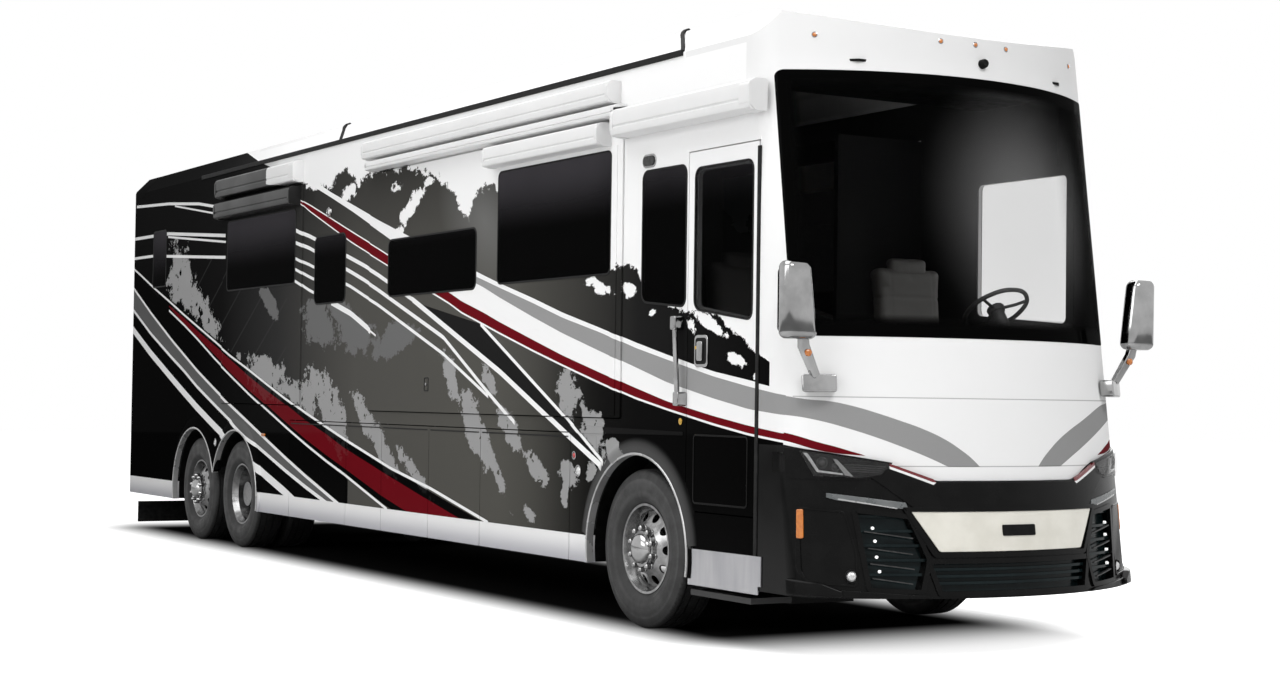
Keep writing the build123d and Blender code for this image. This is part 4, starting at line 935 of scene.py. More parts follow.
def rubber_for(axle_y):
    board = Board("tyre_rubber_" + str(round(axle_y)))
    x, y, z = board.position()
    a, b = y - axle_y, z - HUB_Z
    radius = (a * a + b * b).math("SQRT")
    angle = b.math("ARCTAN2", a)
    teeth = ((angle * (84 / (2 * math.pi)) + (abs(x) * 6.0).math("FRACT").math("PINGPONG", 0.5)).math("FRACT") - 0.5)
    cut = abs(teeth).smooth(0.06, 0.12) * radius.smooth(0.505, 0.512) + radius.smooth(0.512, 0.505)
    rings = (radius * 170.0).math("FRACT").math("PINGPONG", 0.5) * radius.between(0.33, 0.49)
    dust = board.noise(9.0, 5.0, 0.6)
    wall = board.node("ShaderNodeValToRGB", {"stops": [
        (0.28, grey(0.006)), (0.34, grey(0.012)), (0.37, grey(0.03)), (0.39, grey(0.014)), (0.43, grey(0.02)),
        (0.455, grey(0.04)), (0.465, grey(0.012)), (0.5, grey(0.018)), (0.515, grey(0.007)),
    ]}, {0: radius})
    colour = board.mix(dust.smooth(0.35, 0.75) * 0.5, wall, grey(0.01))
    # painted shade: the tread's cross-grooves, which are only bump, are coloured near black
    colour = board.mix(cut, grey(0.003), colour)
    height = cut * 1.0 + rings * 0.25 + board.noise(240.0, 2.0) * 0.08
    return board.finish(colour=colour, rough=dust.smooth(0.2, 0.8, 0.5, 0.75), normal=board.bump(height, 0.8, 0.006))


def tyre_profile():
    shoulder = [(0.104, 0.299), (0.112, 0.301), (0.126, 0.318), (0.14, 0.338), (0.1425, 0.342), (0.1455, 0.352),
        (0.149, 0.385), (0.1505, 0.41), (0.149, 0.436), (0.1465, 0.442), (0.144, 0.456), (0.139, 0.482), (0.134, 0.492),
        (0.13, 0.505), (0.124, 0.516), (0.106, 0.5255)]
    tread = [(0.098, 0.526), (0.097, 0.514), (0.087, 0.514), (0.086, 0.5265), (0.042, 0.5275), (0.041, 0.514),
        (0.03, 0.514), (0.029, 0.528)]
    side = shoulder + tread
    return side + [(-u, r) for u, r in reversed(side)]


for label, axle_y in AXLES.items():
    rubber = rubber_for(axle_y)
    for side, word in SIDES:
        bm = bmesh.new()
        for track in TRACKS[label]:
            turn_about(bm, tyre_profile() + [(-0.104, 0.286), (0.104, 0.286), (0.104, 0.299)],
                (side * track, axle_y, HUB_Z), (1, 0, 0), 72)
        tyre = finish_piece(bm, "tyre_" + label + "_" + word, rubber, wheel_body(label, word), angle=50)
        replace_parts(tyre, label + "_tyre_" + word)
print("tyres", len(AXLES) * len(SIDES), "points in the profile", len(tyre_profile()))

# %% [markdown]
# Wheels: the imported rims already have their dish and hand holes. On them go the lug covers and the
# polished cap over the hub.

# %% Wheel caps and lug covers
LUGS, LUG_PHASE, LUG_R = 10, 0.31, 0.019


def lug_cover(bm, place, side, length):
    shape = ((0.0, 1.15), (0.006 / length, 1.15), (0.008 / length, 1.0), (0.8, 0.92), (0.95, 0.6), (1.0, 0.0))
    profile = [(length * along, LUG_R * wide) for along, wide in shape]
    turn_about(bm, profile, place, (side, 0, 0), 14)


def dress_wheel(side, word, label, seat, cap, lug_length, lug_ring):
    axle_y = AXLES[label]
    body = wheel_body(label, word)
    centre = (side * seat, axle_y, HUB_Z)
    bm = bmesh.new()
    for number in range(LUGS):
        angle = LUG_PHASE + math.tau * number / LUGS
        place = (centre[0], centre[1] + lug_ring * math.cos(angle), centre[2] + lug_ring * math.sin(angle))
        lug_cover(bm, place, side, lug_length)
    finish_piece(bm, "lug_covers_" + label + "_" + word, "chrome", body)
    hub = turned_piece("hub_cap_" + label + "_" + word, cap, centre, (side, 0, 0), "chrome", body, 56)


FRONT_CAP = [(-0.01, 0.119), (0.018, 0.121), (0.024, 0.116), (0.03, 0.102), (0.052, 0.096), (0.066, 0.082),
    (0.074, 0.06), (0.079, 0.032), (0.081, 0.0)]
TAG_CAP = [(-0.01, 0.119), (0.01, 0.121), (0.03, 0.112), (0.036, 0.1), (0.06, 0.094), (0.082, 0.074), (0.09, 0.048),
    (0.094, 0.0)]
DRIVE_CAP = [(-0.005, 0.119), (0.012, 0.12), (0.02, 0.108), (0.085, 0.101), (0.1, 0.09), (0.108, 0.06), (0.111, 0.0)]
for side, word in SIDES:
    dress_wheel(side, word, "front", 1.108 + 0.15 - 0.032, FRONT_CAP, 0.05, 0.137)
    dress_wheel(side, word, "tag", 1.1 + 0.15 - 0.032, TAG_CAP, 0.075, 0.137)
    dress_wheel(side, word, "drive", 1.1 - 0.15, DRIVE_CAP, 0.055, 0.137)
print("wheels dressed")

# %% [markdown]
# Arch flares: a rolled lip stands proud of the body round each wheel opening. A small profile is
# spun part of a turn about the arch's centre. Behind it a dark liner closes the view into the floor.

# %% Arch flares and liners
ARCH_Z = 0.508


def arch_flare(name, s, side, start, end, finish, profile, body="coach"):
    bm = bmesh.new()
    centre = Vector((side * HALF_WIDTH, FRONT_AXLE_Y + s, ARCH_Z))
    verts = []
    for out, radius in profile:
        place = centre + Vector((side * out, radius * math.cos(math.radians(start)),
            radius * math.sin(math.radians(start))))
        verts.append(bm.verts.new(place))
    edges = [bm.edges.new(pair) for pair in zip(verts, verts[1:] + verts[:1])]
    bmesh.ops.spin(bm, geom=verts + edges, cent=centre, axis=(1, 0, 0), angle=math.radians(end - start), steps=40)
    bmesh.ops.holes_fill(bm, edges=[edge for edge in bm.edges if edge.is_boundary])
    return finish_piece(bm, name, finish, body)


FLARE = [(-0.03, 0.649), (0.02, 0.649), (0.022, 0.664), (0.019, 0.69), (0.013, 0.722), (0.005, 0.748), (-0.004, 0.764),
    (-0.03, 0.764)]
BEAD = [(-0.03, 0.638), (0.022, 0.638), (0.026, 0.642), (0.026, 0.65), (0.021, 0.655), (-0.03, 0.655)]
LINER = [(-0.32, 0.7), (-0.012, 0.655), (-0.012, 0.66), (-0.32, 0.705)]
# each arch: name, distance behind the front axle, first and last angle, from the rear round to the front
ARCHES = (("front", 0.0, -10, 190), ("drive", 7.74, 18.9, 190), ("tag", 8.97, -10, 161.1))
for side, word in SIDES:
    for label, s, first, last in ARCHES:
        arch_flare("arch_flare_" + label + "_" + word, s, side, max(first, 7), min(last, 173), body_finish, FLARE)
        arch_flare("arch_bead_" + label + "_" + word, s, side, first, last, "bead", BEAD)
        arch_flare("arch_liner_" + label + "_" + word, s, side, first, last, "trim", LINER)
print("arches", len(ARCHES) * len(SIDES))

# %% [markdown]
# The nose. A cream panel sits in a black frame between two louvred vents; slim silver blades run
# above the vents, four tiny lamps sit in each, and a fog lamp hides in the pocket outside them.

# %% Nose panel, frames and blades
def mirrored(outline, side):
    return [(side * x, z) for x, z in outline]


def lay_plates(rows, side=1, tail=""):
    """Lays plates on the nose from rows of name, outline, low, high, finish, corner radius, frame, bevel, step."""
    for name, outline, low, high, finish, radius, ring, bevel, step in rows:
        nose_plate(name + tail, mirrored(outline, side), low, high, finish, radius, bevel, ring, step)


NOSE_MIDDLE = [
    ("nose_panel", [(-0.7, 0.88), (0.7, 0.88), (0.548, 0.645), (-0.548, 0.645)],
     -0.012, 0.01, "cream", 0.012, 0.0, 0.004, 0.04),
    ("nose_panel_frame", [(-0.752, 0.905), (0.752, 0.905), (0.585, 0.612), (-0.585, 0.612)],
     -0.005, 0.016, "gloss_black", 0.02, 0.026, 0.004, 0.04),
    ("nose_blank_badge", [(-0.125, 0.8), (0.125, 0.8), (0.125, 0.735), (-0.125, 0.735)],
     0.006, 0.017, "trim", 0.008, 0.0, 0.002, 0.04),
    ("nose_upper_frame", [
        (-0.96, 1.118), (-0.9, 1.15), (-0.52, 1.052), (0.52, 1.052), (0.9, 1.15), (0.96, 1.118), (0.68, 0.898),
        (-0.68, 0.898),
    ], -0.006, 0.01, "gloss_black", 0.01, 0.0, 0.005, 0.04),
    ("lower_grille_frame", [(-0.64, 0.606), (0.64, 0.606), (0.575, 0.388), (-0.575, 0.388)],
     -0.012, 0.01, "gloss_black", 0.02, 0.03, 0.004, 0.04),
]
NOSE_SIDE = [
    ("vent_frame", [(1.02, 0.9), (0.7, 0.862), (0.598, 0.6), (0.655, 0.4), (0.968, 0.412)],
     -0.012, 0.012, "gloss_black", 0.025, 0.028, 0.004, 0.04),
    ("silver_blade", [(1.136, 0.983), (0.726, 0.931), (0.712, 0.892), (0.783, 0.898), (1.085, 0.941), (1.137, 0.956)],
     -0.004, 0.012, "silver", 0.0, 0.0, 0.003, 0.04),
    ("blade_edge", [(1.079, 0.952), (0.777, 0.901), (0.777, 0.894), (1.08, 0.944)],
     0.006, 0.016, "bead", 0.0, 0.0, 0.001, 0.04),
    ("lamp_pocket_rim", [(1.268, 0.9), (1.045, 0.88), (1.0, 0.64), (1.01, 0.44), (1.25, 0.455), (1.276, 0.52)],
     -0.006, 0.007, "gloss_black", 0.03, 0.014, 0.003, 0.02),
    ("lower_lip", [(1.284, 0.452), (1.1, 0.425), (0.66, 0.396), (0.6, 0.378), (1.284, 0.378)],
     -0.006, 0.022, "gloss_black", 0.0, 0.0, 0.006, 0.02),
    ("lower_heel", [(1.2885, 0.48), (1.18, 0.462), (1.09, 0.42), (1.09, 0.384), (1.2885, 0.384)],
     -0.006, 0.045, "gloss_black", 0.0, 0.0, 0.012, 0.02),
    ("amber_marker", [(1.241, 0.886), (1.263, 0.884), (1.269, 0.714), (1.247, 0.716)],
     -0.004, 0.01, "amber", 0.006, 0.0, 0.004, 0.01),
]
# each bright slat edge in a vent: outer x, outer z, inner x, inner z
VENT_EDGES = [(0.96, 0.766, 0.698, 0.727), (0.946, 0.669, 0.705, 0.635), (0.941, 0.58, 0.702, 0.549),
    (0.934, 0.496, 0.717, 0.464)]
VENT_LAMPS = [(0.914, 0.781), (0.906, 0.706), (0.904, 0.614), (0.894, 0.531)]


def nose_side_parts(side, word):
    lay_plates(NOSE_SIDE, side, "_" + word)
    for number, (x0, z0, x1, z1) in enumerate(VENT_EDGES):
        rows = [(x0, z0), (x1, z1), (x1, z1 - 0.007), (x0, z0 - 0.007)]
        nose_plate("vent_edge_%d_%s" % (number, word), mirrored(rows, side), -0.012, 0.004, "slat_edge", bevel=0.0)
    dots = bmesh.new()
    for x, z in VENT_LAMPS:
        place = on_nose(side * x, z, -0.012)
        turn_about(dots, [(0.0, 0.01), (0.014, 0.009), (0.017, 0.005), (0.0175, 0.0)], place,
            (side * x / 2.0, -0.9, 0.05), 14)
    finish_piece(dots, "vent_lamps_" + word, "lit")
    spot = on_nose(side * 1.04, 0.502, -0.004)
    facing = (side * 0.45, -0.9, 0.0)
    turned_piece("fog_lamp_ring_" + word, [(-0.01, 0.042), (0.012, 0.042), (0.016, 0.038), (0.012, 0.033),
        (0.0, 0.031)], spot, facing, "trim", steps=28)
    turned_piece("fog_lamp_" + word, [(0.002, 0.032), (0.01, 0.029), (0.02, 0.018), (0.024, 0.0)], spot, facing,
        "bright", steps=24)


CRIMSON_FINISH = simple_finish("crimson_line", CRIMSON, (0.15, 0.006, 0.011, 1.0), 0.2, 0.0, 5.0, 0.0, 90.0, 0.3)
NOSE_SIDE += [
    ("nose_red_line", [(0.8, 1.16), (0.791, 1.154), (0.555, 1.069), (0.539, 1.049), (0.563, 1.052), (0.8, 1.141)],
     -0.004, 0.014, CRIMSON_FINISH, 0.0, 0.0, 0.0, 0.02),
    ("nose_white_line", [(0.802, 1.142), (0.563, 1.053), (0.54, 1.049), (0.557, 1.035), (0.802, 1.127)],
     -0.004, 0.014, "white", 0.0, 0.0, 0.0, 0.02),
]
lay_plates(NOSE_MIDDLE)
both(nose_side_parts)

# %% [markdown]
# Headlamps: a clear cover over a black housing that holds a bright bezel, two projector lenses, a
# slanting divider and the ribbed strip of the running light.

# %% Headlamps
LAMP = [(1.24, 1.228), (0.793, 1.155), (0.856, 1.09), (0.967, 1.072), (1.19, 1.082)]
LAMP_PLATES = [
    ("headlamp_back", [(1.284, 1.245), (1.236, 1.24), (0.78, 1.163), (0.842, 1.083), (0.96, 1.058), (1.284, 1.062)],
     -0.006, 0.006, "gloss_black", 0.0, 0.0, 0.003, 0.015),
    ("lamp_bezel", [(1.226, 1.216), (1.172, 1.103), (1.047, 1.087), (1.046, 1.097), (1.162, 1.115), (1.208, 1.213)],
     0.004, 0.014, "bright", 0.0, 0.0, 0.002, 0.015),
    ("lamp_divider", [(1.091, 1.181), (1.071, 1.178), (0.995, 1.079), (1.037, 1.086)],
     0.004, 0.02, "bead", 0.0, 0.0, 0.002, 0.015),
    ("headlamp_cover", LAMP, 0.021, 0.025, "lens", 0.012, 0.0, 0.001, 0.015),
]


def headlamp(side, word):
    lay_plates(LAMP_PLATES, side, "_" + word)
    for number, (x, z, r) in enumerate(((1.145, 1.158, 0.026), (1.08, 1.132, 0.018))):
        place = on_nose(side * x, z, 0.004)
        facing = (side * x * 0.42, -0.9, 0.05)
        cup = [
            (0.0, r + 0.008), (0.01, r + 0.008), (0.012, r + 0.003), (0.002, r), (0.01, r * 0.72), (0.015, r * 0.4),
            (0.017, 0.0),
        ]
        turned_piece("projector_%d_%s" % (number, word), cup, place, facing, "lens_glass", steps=28)
    for number in range(4):
        z, outer, inner = 1.146 - number * 0.012, 1.036 - number * 0.006, 0.818 + number * 0.014
        rows = [(outer, z + 0.006), (inner, z - 0.004), (inner + 0.002, z - 0.01), (outer - 0.002, z)]
        rib = mirrored(rows, side)
        nose_plate("lamp_rib_%d_%s" % (number, word), rib, 0.004, 0.012, "slat_edge", step=0.02, bevel=0.001)


both(headlamp)
print("headlamp cover corners", len(LAMP))

# %% [markdown]
# To set small things on a packed panel we drop a ray on it and use the point and the direction that
# the surface faces there. The roof markers, the camera eye and the rear fittings all sit this way.

# %% Things set on a surface
surfaces = {}


def touch(node, start, direction):
    """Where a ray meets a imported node, and the surface's direction there."""
    if node not in surfaces:
        surfaces[node] = BVHTree.FromObject(nodes[node], bpy.context.evaluated_depsgraph_get())
    place, normal, _, _ = surfaces[node].ray_cast(Vector(start), Vector(direction).normalized())
    if normal.dot(Vector(direction)) > 0:
        normal = -normal
    return place, normal


def on_cap(x, z):
    """The front cap's surface, met from ahead."""
    return touch("front_cap", (x, -9.0, z), (0, 1, 0))


MARKER = [(-0.004, 0.014), (0.005, 0.013), (0.01, 0.009), (0.012, 0.0)]
for number, x in enumerate((-1.02, -0.26, 0.0, 0.26, 1.02)):
    place, normal = on_cap(x, 3.735)
    turned_piece("roof_marker_%d" % number, MARKER, place, normal, "amber", steps=20)
    turned_piece("roof_marker_base_%d" % number, [(-0.004, 0.018), (0.003, 0.018), (0.004, 0.014)], place, normal,
        "chrome", steps=20)
place, normal = on_cap(0.04, 3.615)
turned_piece("camera_eye", [(-0.004, 0.03), (0.03, 0.028), (0.04, 0.022), (0.041, 0.013), (0.034, 0.0)], place, normal,
    "trim", steps=24)
print("camera eye at", [round(value, 3) for value in place])

# %% [markdown]
# The black gutter line runs back along both sides under the leaning roof edge, and two black seams
# cross the roof where its mouldings meet. Each is a thin rod or strip laid on the surface.

# %% Gutter and roof seams
def gutter(side, word):
    side_plate("gutter_" + word, rect(-0.5, 8.9, 3.727, 3.768), HALF_WIDTH - 0.004, HALF_WIDTH + 0.012, "rubber",
        side=side, bevel=0.004)
    for number, s in enumerate((-0.5, 5.2)):
        base = [(1.294, 3.75, 0.0), (1.262, 3.79, 0.05), (1.205, 3.856, 0.145), (1.15, 3.922, 0.225),
            (1.1, 3.944, 0.24)]
        points = [(side * x, FRONT_AXLE_Y + s + back, z + 0.003) for x, z, back in base]
        rod("roof_seam_%d_%s" % (number, word), points, 0.014, "rubber")


both(gutter)
print("gutters and seams laid")

# %% [markdown]
# Awnings. Each case is one extruded aluminium section: a flat back, a stepped face with a drip
# groove, and a rounded nose, closed by moulded end caps. One section is drawn and pulled along.

# %% Awning cases
def case_section(low, high, reach):
    """The case's cross-section as (out, height) pairs."""
    t = high - low
    return [
        (0.0, low), (reach * 0.84, low), (reach * 0.97, low + t * 0.05), (reach, low + t * 0.14),
        (reach, low + t * 0.3), (reach * 0.95, low + t * 0.33), (reach * 0.95, low + t * 0.38),
        (reach, low + t * 0.41), (reach, low + t * 0.78), (reach * 0.95, low + t * 0.92), (reach * 0.8, high),
        (0.0, high),
    ]


def awning(name, side, front, rear, low, high, reach, inner, body="coach"):
    section = [(side * (inner + out), FRONT_AXLE_Y + front, z) for out, z in case_section(low, high, reach)]
    case = cut_plate(name, section, (0, rear - front, 0), "awning", body, 0.003)
    for number, (end, way) in enumerate(((front, -1), (rear, 1))):
        box = [(0.0, low - 0.006), (reach * 0.62, low - 0.006), (reach * 1.03, low + 0.035),
            (reach * 1.03, high - 0.03), (reach * 0.7, high + 0.006), (0.0, high + 0.006)]
        deep = 0.11 if high - low > 0.17 and side < 0 and way < 0 else 0.03
        points = [(side * (inner + out), FRONT_AXLE_Y + end - way * deep, z) for out, z in box]
        cap = cut_plate("%s_end_%d" % (name, number), points, (0, way * (deep + 0.004), 0), "awning", body, 0.002,
            0.012, 3)
    return case


# name, side, front, rear, low, high, how far it stands out, where the wall is
PATIO = [
    ("awning_patio_front", -1, -1.462, 0.2, 3.265, 3.45, 0.133, HALF_WIDTH),
    ("awning_patio_rear", -1, 0.205, 4.4, 3.412, 3.49, 0.108, HALF_WIDTH),
    ("slide_cover_front", -1, 0.29, 4.48, 3.515, 3.66, 0.108, HALF_WIDTH),
    ("slide_cover_rear", -1, 6.06, 8.2, 3.47, 3.655, 0.108, HALF_WIDTH),
    ("slide_cover_left", 1, 0.24, 8.19, 3.5, 3.66, 0.108, HALF_WIDTH),
]
cases = [awning(*row) for row in PATIO]
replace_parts(cases[0], "awning_cases")
for name, front, rear, low, high, body in (
    ("window_awning_front", 0.396, 2.134, 3.236, 3.384, "slide_right_front"),
    ("window_awning_rear", 6.106, 8.174, 3.261, 3.424, "slide_right_rear"),
):
    awning(name, -1, front, rear, low, high, 0.118, SLIDE_X, body)
print("awning cases", len(cases) + 2)

# %% [markdown]
# Mirrors: a chrome head like a rounded book, open at the back where the dark mirror glass sits, on a
# bent chrome arm with a small amber lamp, all bolted to a pad on the nose.

# %% Mirrors
MIRROR_WIDE, MIRROR_TALL, MIRROR_Z = 0.236, 0.456, 2.105


def mirror(side, word):
    y = FRONT_AXLE_Y - 1.88
    bm = bmesh.new()
    made = bmesh.ops.create_cube(bm, size=1.0)
    bmesh.ops.scale(bm, vec=(MIRROR_WIDE, 0.128, MIRROR_TALL), verts=made["verts"])
    upright = [e for e in bm.edges if abs(e.verts[0].co.z - e.verts[1].co.z) > 0.3]
    bmesh.ops.bevel(bm, geom=upright, offset=0.055, segments=6, profile=0.5, affect="EDGES", material=-1)
    rims = [
        e for e in bm.edges
        if min(abs(v.co.z) for v in e.verts) > 0.2 and len(e.link_faces) == 2 and e.calc_face_angle(0) > 1.0
    ]
    bmesh.ops.bevel(bm, geom=rims, offset=0.045, segments=6, profile=0.5, affect="EDGES", material=-1)
    for vert in bm.verts:
        taper = 1.0 - 0.26 * (vert.co.z / MIRROR_TALL + 0.5) ** 2
        edge = MIRROR_WIDE / 2 * side
        vert.co.x = edge + (vert.co.x - edge) * taper
    bmesh.ops.translate(bm, verts=bm.verts, vec=(side * 1.342, y, MIRROR_Z))
    head = finish_piece(bm, "mirror_head_" + word, "chrome")
    pane = [(-0.08, -0.19), (0.09, -0.19), (0.09, 0.19), (-0.05, 0.19)]
    points = [(side * (1.352 + a), y + 0.0625, MIRROR_Z + b) for a, b in pane]
    cut_plate("mirror_glass_" + word, points, (0, 0.004, 0), "window", bevel=0.001, radius=0.03)
    arm = bmesh.new()
    flat_face(arm, [(side * a, y + 0.022, z) for a, z in ((1.332, 1.892), (1.272, 1.892), (1.262, 1.85), (1.15, 1.65),
        (1.205, 1.65), (1.325, 1.83))])
    thicken(arm, (0, -0.044, 0))
    for vert in arm.verts:
        vert.co.y += (1.9 - vert.co.z) * 0.16
    finish_piece(arm, "mirror_arm_" + word, "chrome", bevel=0.01)
    foot = [(1.205, 1.676), (1.046, 1.679), (1.05, 1.573), (1.207, 1.57)]
    nose_plate("mirror_foot_" + word, mirrored(foot, side), -0.004, 0.085, "chrome", radius=0.012, bevel=0.01,
        step=0.03)
    turned_piece("mirror_lamp_" + word, [(-0.004, 0.022), (0.008, 0.021), (0.014, 0.012), (0.016, 0.0)],
        (side * 1.272, y - 0.009, 1.8), (0, -1, 0), "amber", steps=18)
    return head


heads = both(mirror)
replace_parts(heads[0], "mirrors")
print("mirrors", len(heads))

# %% [markdown]
# Around the entry door: a chrome grab handle, a paddle latch in its dish, an oval porch lamp, a
# black sealing strip down the hinge side, and a polished panel under the doorway. The lock, lamp and
# trim strip on the slide-outs and the wall behind come from the same two tables.

# %% Doorway fittings
grip = [(-1.345, FRONT_AXLE_Y + s, z) for s, z in ((-0.524, 2.01), (-0.545, 1.77), (-0.566, 1.53))]
rod("grab_handle", grip, 0.017, "chrome")
for number, (s, z) in enumerate(((-0.522, 2.005), (-0.566, 1.52))):
    side_plate("grab_handle_foot_%d" % number, rect(s - 0.032, s + 0.032, z - 0.045, z + 0.045), 1.288, 1.362, "chrome",
        radius=0.012, bevel=0.008)
side_plate("belt_rail", [(-0.56, 1.287), (0.93, 1.272), (0.93, 1.33), (-0.56, 1.312)], 1.288, 1.2955, body_finish,
    bevel=0.003)
# plates: name, corners, inner and outer face, finish, body, corner radius, bevel, frame width
WALL_PLATES = [
    ("latch_dish", (-0.845, -0.69, 1.722, 1.925), 1.288, 1.3, "chrome", "entry_door", 0.03, 0.004, 0.0),
    ("latch_recess", (-0.828, -0.708, 1.74, 1.907), 1.299, 1.303, "trim", "entry_door", 0.022, 0.001, 0.0),
    ("latch_paddle", (-0.8, -0.735, 1.76, 1.885), 1.302, 1.314, "chrome", "entry_door", 0.014, 0.004, 0.0),
    ("porch_lamp_base", (-0.185, -0.015, 3.04, 3.13), 1.288, 1.297, "chrome", "coach", 0.044, 0.003, 0.0),
    ("porch_lamp", (-0.17, -0.03, 3.052, 3.118), 1.296, 1.304, "slat_edge", "coach", 0.032, 0.004, 0.0),
    ("door_seal", (-1.408, -1.374, 0.4, 3.06), 1.286, 1.297, "rubber", "coach", 0.0, 0.004, 0.0),
    ("door_lower_panel", (-1.3, -0.68, 0.86, 1.3), 1.29, 1.2945, "gloss_black", "entry_door", 0.03, 0.0015, 0.012),
    ("slide_corner_trim", (0.3, 0.372, 1.4, 3.23), 1.299, 1.3065, body_finish, "slide_right_front", 0.0, 0.002, 0.0),
    ("service_hatch", (0.555, 0.7, 1.13, 1.262), 1.288, 1.2925, body_finish, "coach", 0.02, 0.0015, 0.01),
    ("wall_lock_plate", (3.265, 3.345, 1.555, 1.665), 1.298, 1.304, "trim", "slide_right_front", 0.012, 0.002, 0.008),
]
# round things: name, profile, reach, distance, height, finish, body, steps
WALL_KNOBS = [
    ("latch_key", [(0.0, 0.011), (0.004, 0.011), (0.005, 0.0)], 1.302, -0.717, 1.845, "gold", "entry_door", 18),
    ("door_lock", [(0.0, 0.022), (0.006, 0.021), (0.008, 0.012), (0.006, 0.0)],
     1.289, -0.527, 1.377, "gold", "coach", 24),
    ("scene_lamp_ring", [(-0.004, 0.046), (0.014, 0.044), (0.02, 0.034), (0.016, 0.03)],
     1.29, 5.416, 3.142, "chrome", "coach", 28),
    ("scene_lamp", [(0.006, 0.032), (0.018, 0.024), (0.022, 0.0)], 1.29, 5.4, 3.145, "bright", "coach", 24),
    ("wall_lock", [(0.0, 0.014), (0.006, 0.013), (0.008, 0.0)], 1.3, 3.305, 1.61, "chrome", "slide_right_front", 18),
]
for name, corners, inner, outer, finish, body, radius, bevel, ring in WALL_PLATES:
    side_plate(name, rect(*corners), inner, outer, finish, body, -1, radius, bevel, ring)
for name, profile, reach, s, z, finish, body, steps in WALL_KNOBS:
    turned_piece(name, profile, (-reach, FRONT_AXLE_Y + s, z), (-1, 0, 0), finish, body, steps)
for side, word in SIDES:
    side_plate("rocker_panel_" + word, [(-1.43, 0.35), (-0.645, 0.35), (-0.645, 0.578), (-1.461, 0.582), (-1.461, 0.4),
        (-1.43, 0.4)], 1.29, 1.299, "rocker", side=side, bevel=0.003)
print("doorway plates", len(WALL_PLATES), "round pieces", len(WALL_KNOBS))

# %% [markdown]
# The long sides carry small things that the eye expects. First, a rubber gasket round every pane. Each
# is one outline laid on the wall, so a table of rows and a loop make them all, and each rides on the
# panel it is on.

# %% Window gaskets
# body, side, face of the pane, then front, rear, bottom front, bottom rear, top and corner radius
PANES = [
    ("coach", -1, HALF_WIDTH, -0.565, -0.02, 2.108, 2.158, 3.02, 0.06),
    ("coach", -1, HALF_WIDTH, 5.03, 5.75, 2.33, 2.33, 2.935, 0.07),
    ("coach", -1, HALF_WIDTH, 10.05, 10.5, 2.67, 2.67, 3.28, 0.04),
    ("coach", 1, HALF_WIDTH, -1.34, -0.392, 2.04, 2.12, 3.08, 0.06),
    ("coach", 1, HALF_WIDTH, 10.05, 10.5, 2.67, 2.67, 3.28, 0.04),
    ("entry_door", -1, HALF_WIDTH, -1.327, -0.67, 2.004, 2.092, 2.985, 0.06),
    ("slide_right_front", -1, SLIDE_X, 0.385, 2.077, 2.362, 2.362, 3.2, 0.05),
    ("slide_right_front", -1, SLIDE_X, 2.44, 4.09, 2.34, 2.34, 2.81, 0.06),
    ("slide_right_rear", -1, SLIDE_X, 6.21, 8.06, 2.54, 2.54, 3.23, 0.05),
    ("slide_left", 1, SLIDE_X, 0.7, 2.4, 2.362, 2.362, 3.2, 0.05),
    ("slide_left", 1, SLIDE_X, 3.1, 4.3, 2.5, 2.5, 3.1, 0.05),
    ("slide_left", 1, SLIDE_X, 6.3, 7.7, 2.54, 2.54, 3.2, 0.05),
]
GASKET = 0.014
for number, (body, side, face, front, rear, low_front, low_rear, top, radius) in enumerate(PANES):
    g = GASKET * 0.5
    outline = [(front - g, low_front - g), (rear + g, low_rear - g), (rear + g, top + g), (front - g, top + g)]
    side_plate("gasket_%d" % number, outline, face - 0.004, face + 0.004, "rubber", body, side, radius + g, 0.002,
        GASKET)
print("gaskets", len(PANES))

# %% [markdown]
# Then the dark hem over each bay door and the small lamps low on each side.

# %% Hems and side lamps
SIDE_LAMPS = [
    ("docking_lamp", 0.8, 1.013, "bright", 0.032), ("turn_lamp", 0.86, 1.118, "ruby", 0.02),
    ("tail_side_lamp", 8.33, 1.02, "bright", 0.03),
]
SEAMS = {-1: (0.927, 2.335, 3.26, 4.19, 4.95, 6.29), 1: (0.927, 2.335, 3.63, 4.95, 6.29)}
for side, word in SIDES:
    for number, (front, rear) in enumerate(zip(SEAMS[side], SEAMS[side][1:]), 1):
        body = "bay_door_%s_%d" % (word, number)
        hem = rect(front + 0.03, rear - 0.03, 1.243, 1.252)
        side_plate("bay_hem_%s_%d" % (word, number), hem, 1.288, 1.2935, "rubber", body, side, 0.0, 0.001)
    marker = rect(6.928, 7.018, 1.112, 1.14)
    side_plate("side_marker_" + word, marker, 1.288, 1.301, "amber", side=side, radius=0.012, bevel=0.004)
    for name, s, z, finish, r in SIDE_LAMPS:
        place = (side * HALF_WIDTH, FRONT_AXLE_Y + s, z)
        turned_piece("%s_ring_%s" % (name, word), [(-0.004, r + 0.01), (0.008, r + 0.009), (0.01, r + 0.002),
            (0.004, r)], place, (side, 0, 0), "chrome", steps=26)
        turned_piece("%s_%s" % (name, word), [(0.0, r + 0.001), (0.006, r * 0.9), (0.011, r * 0.5), (0.012, 0.0)],
            place, (side, 0, 0), finish, steps=24)
print("side lamps", 2 * len(SIDE_LAMPS))

# %% [markdown]
# The cab seats. A coach seat is a pedestal, a thick cushion with two sewn channels, a tall back, a
# head pad and two armrests. Each pad begins as a block with pulled-in sides, is remeshed, and is then
# puffed by a short cloth run with air pressure inside; last, the seams are pressed into it.

# %% Cushions
SWELL_CAP = 0.016


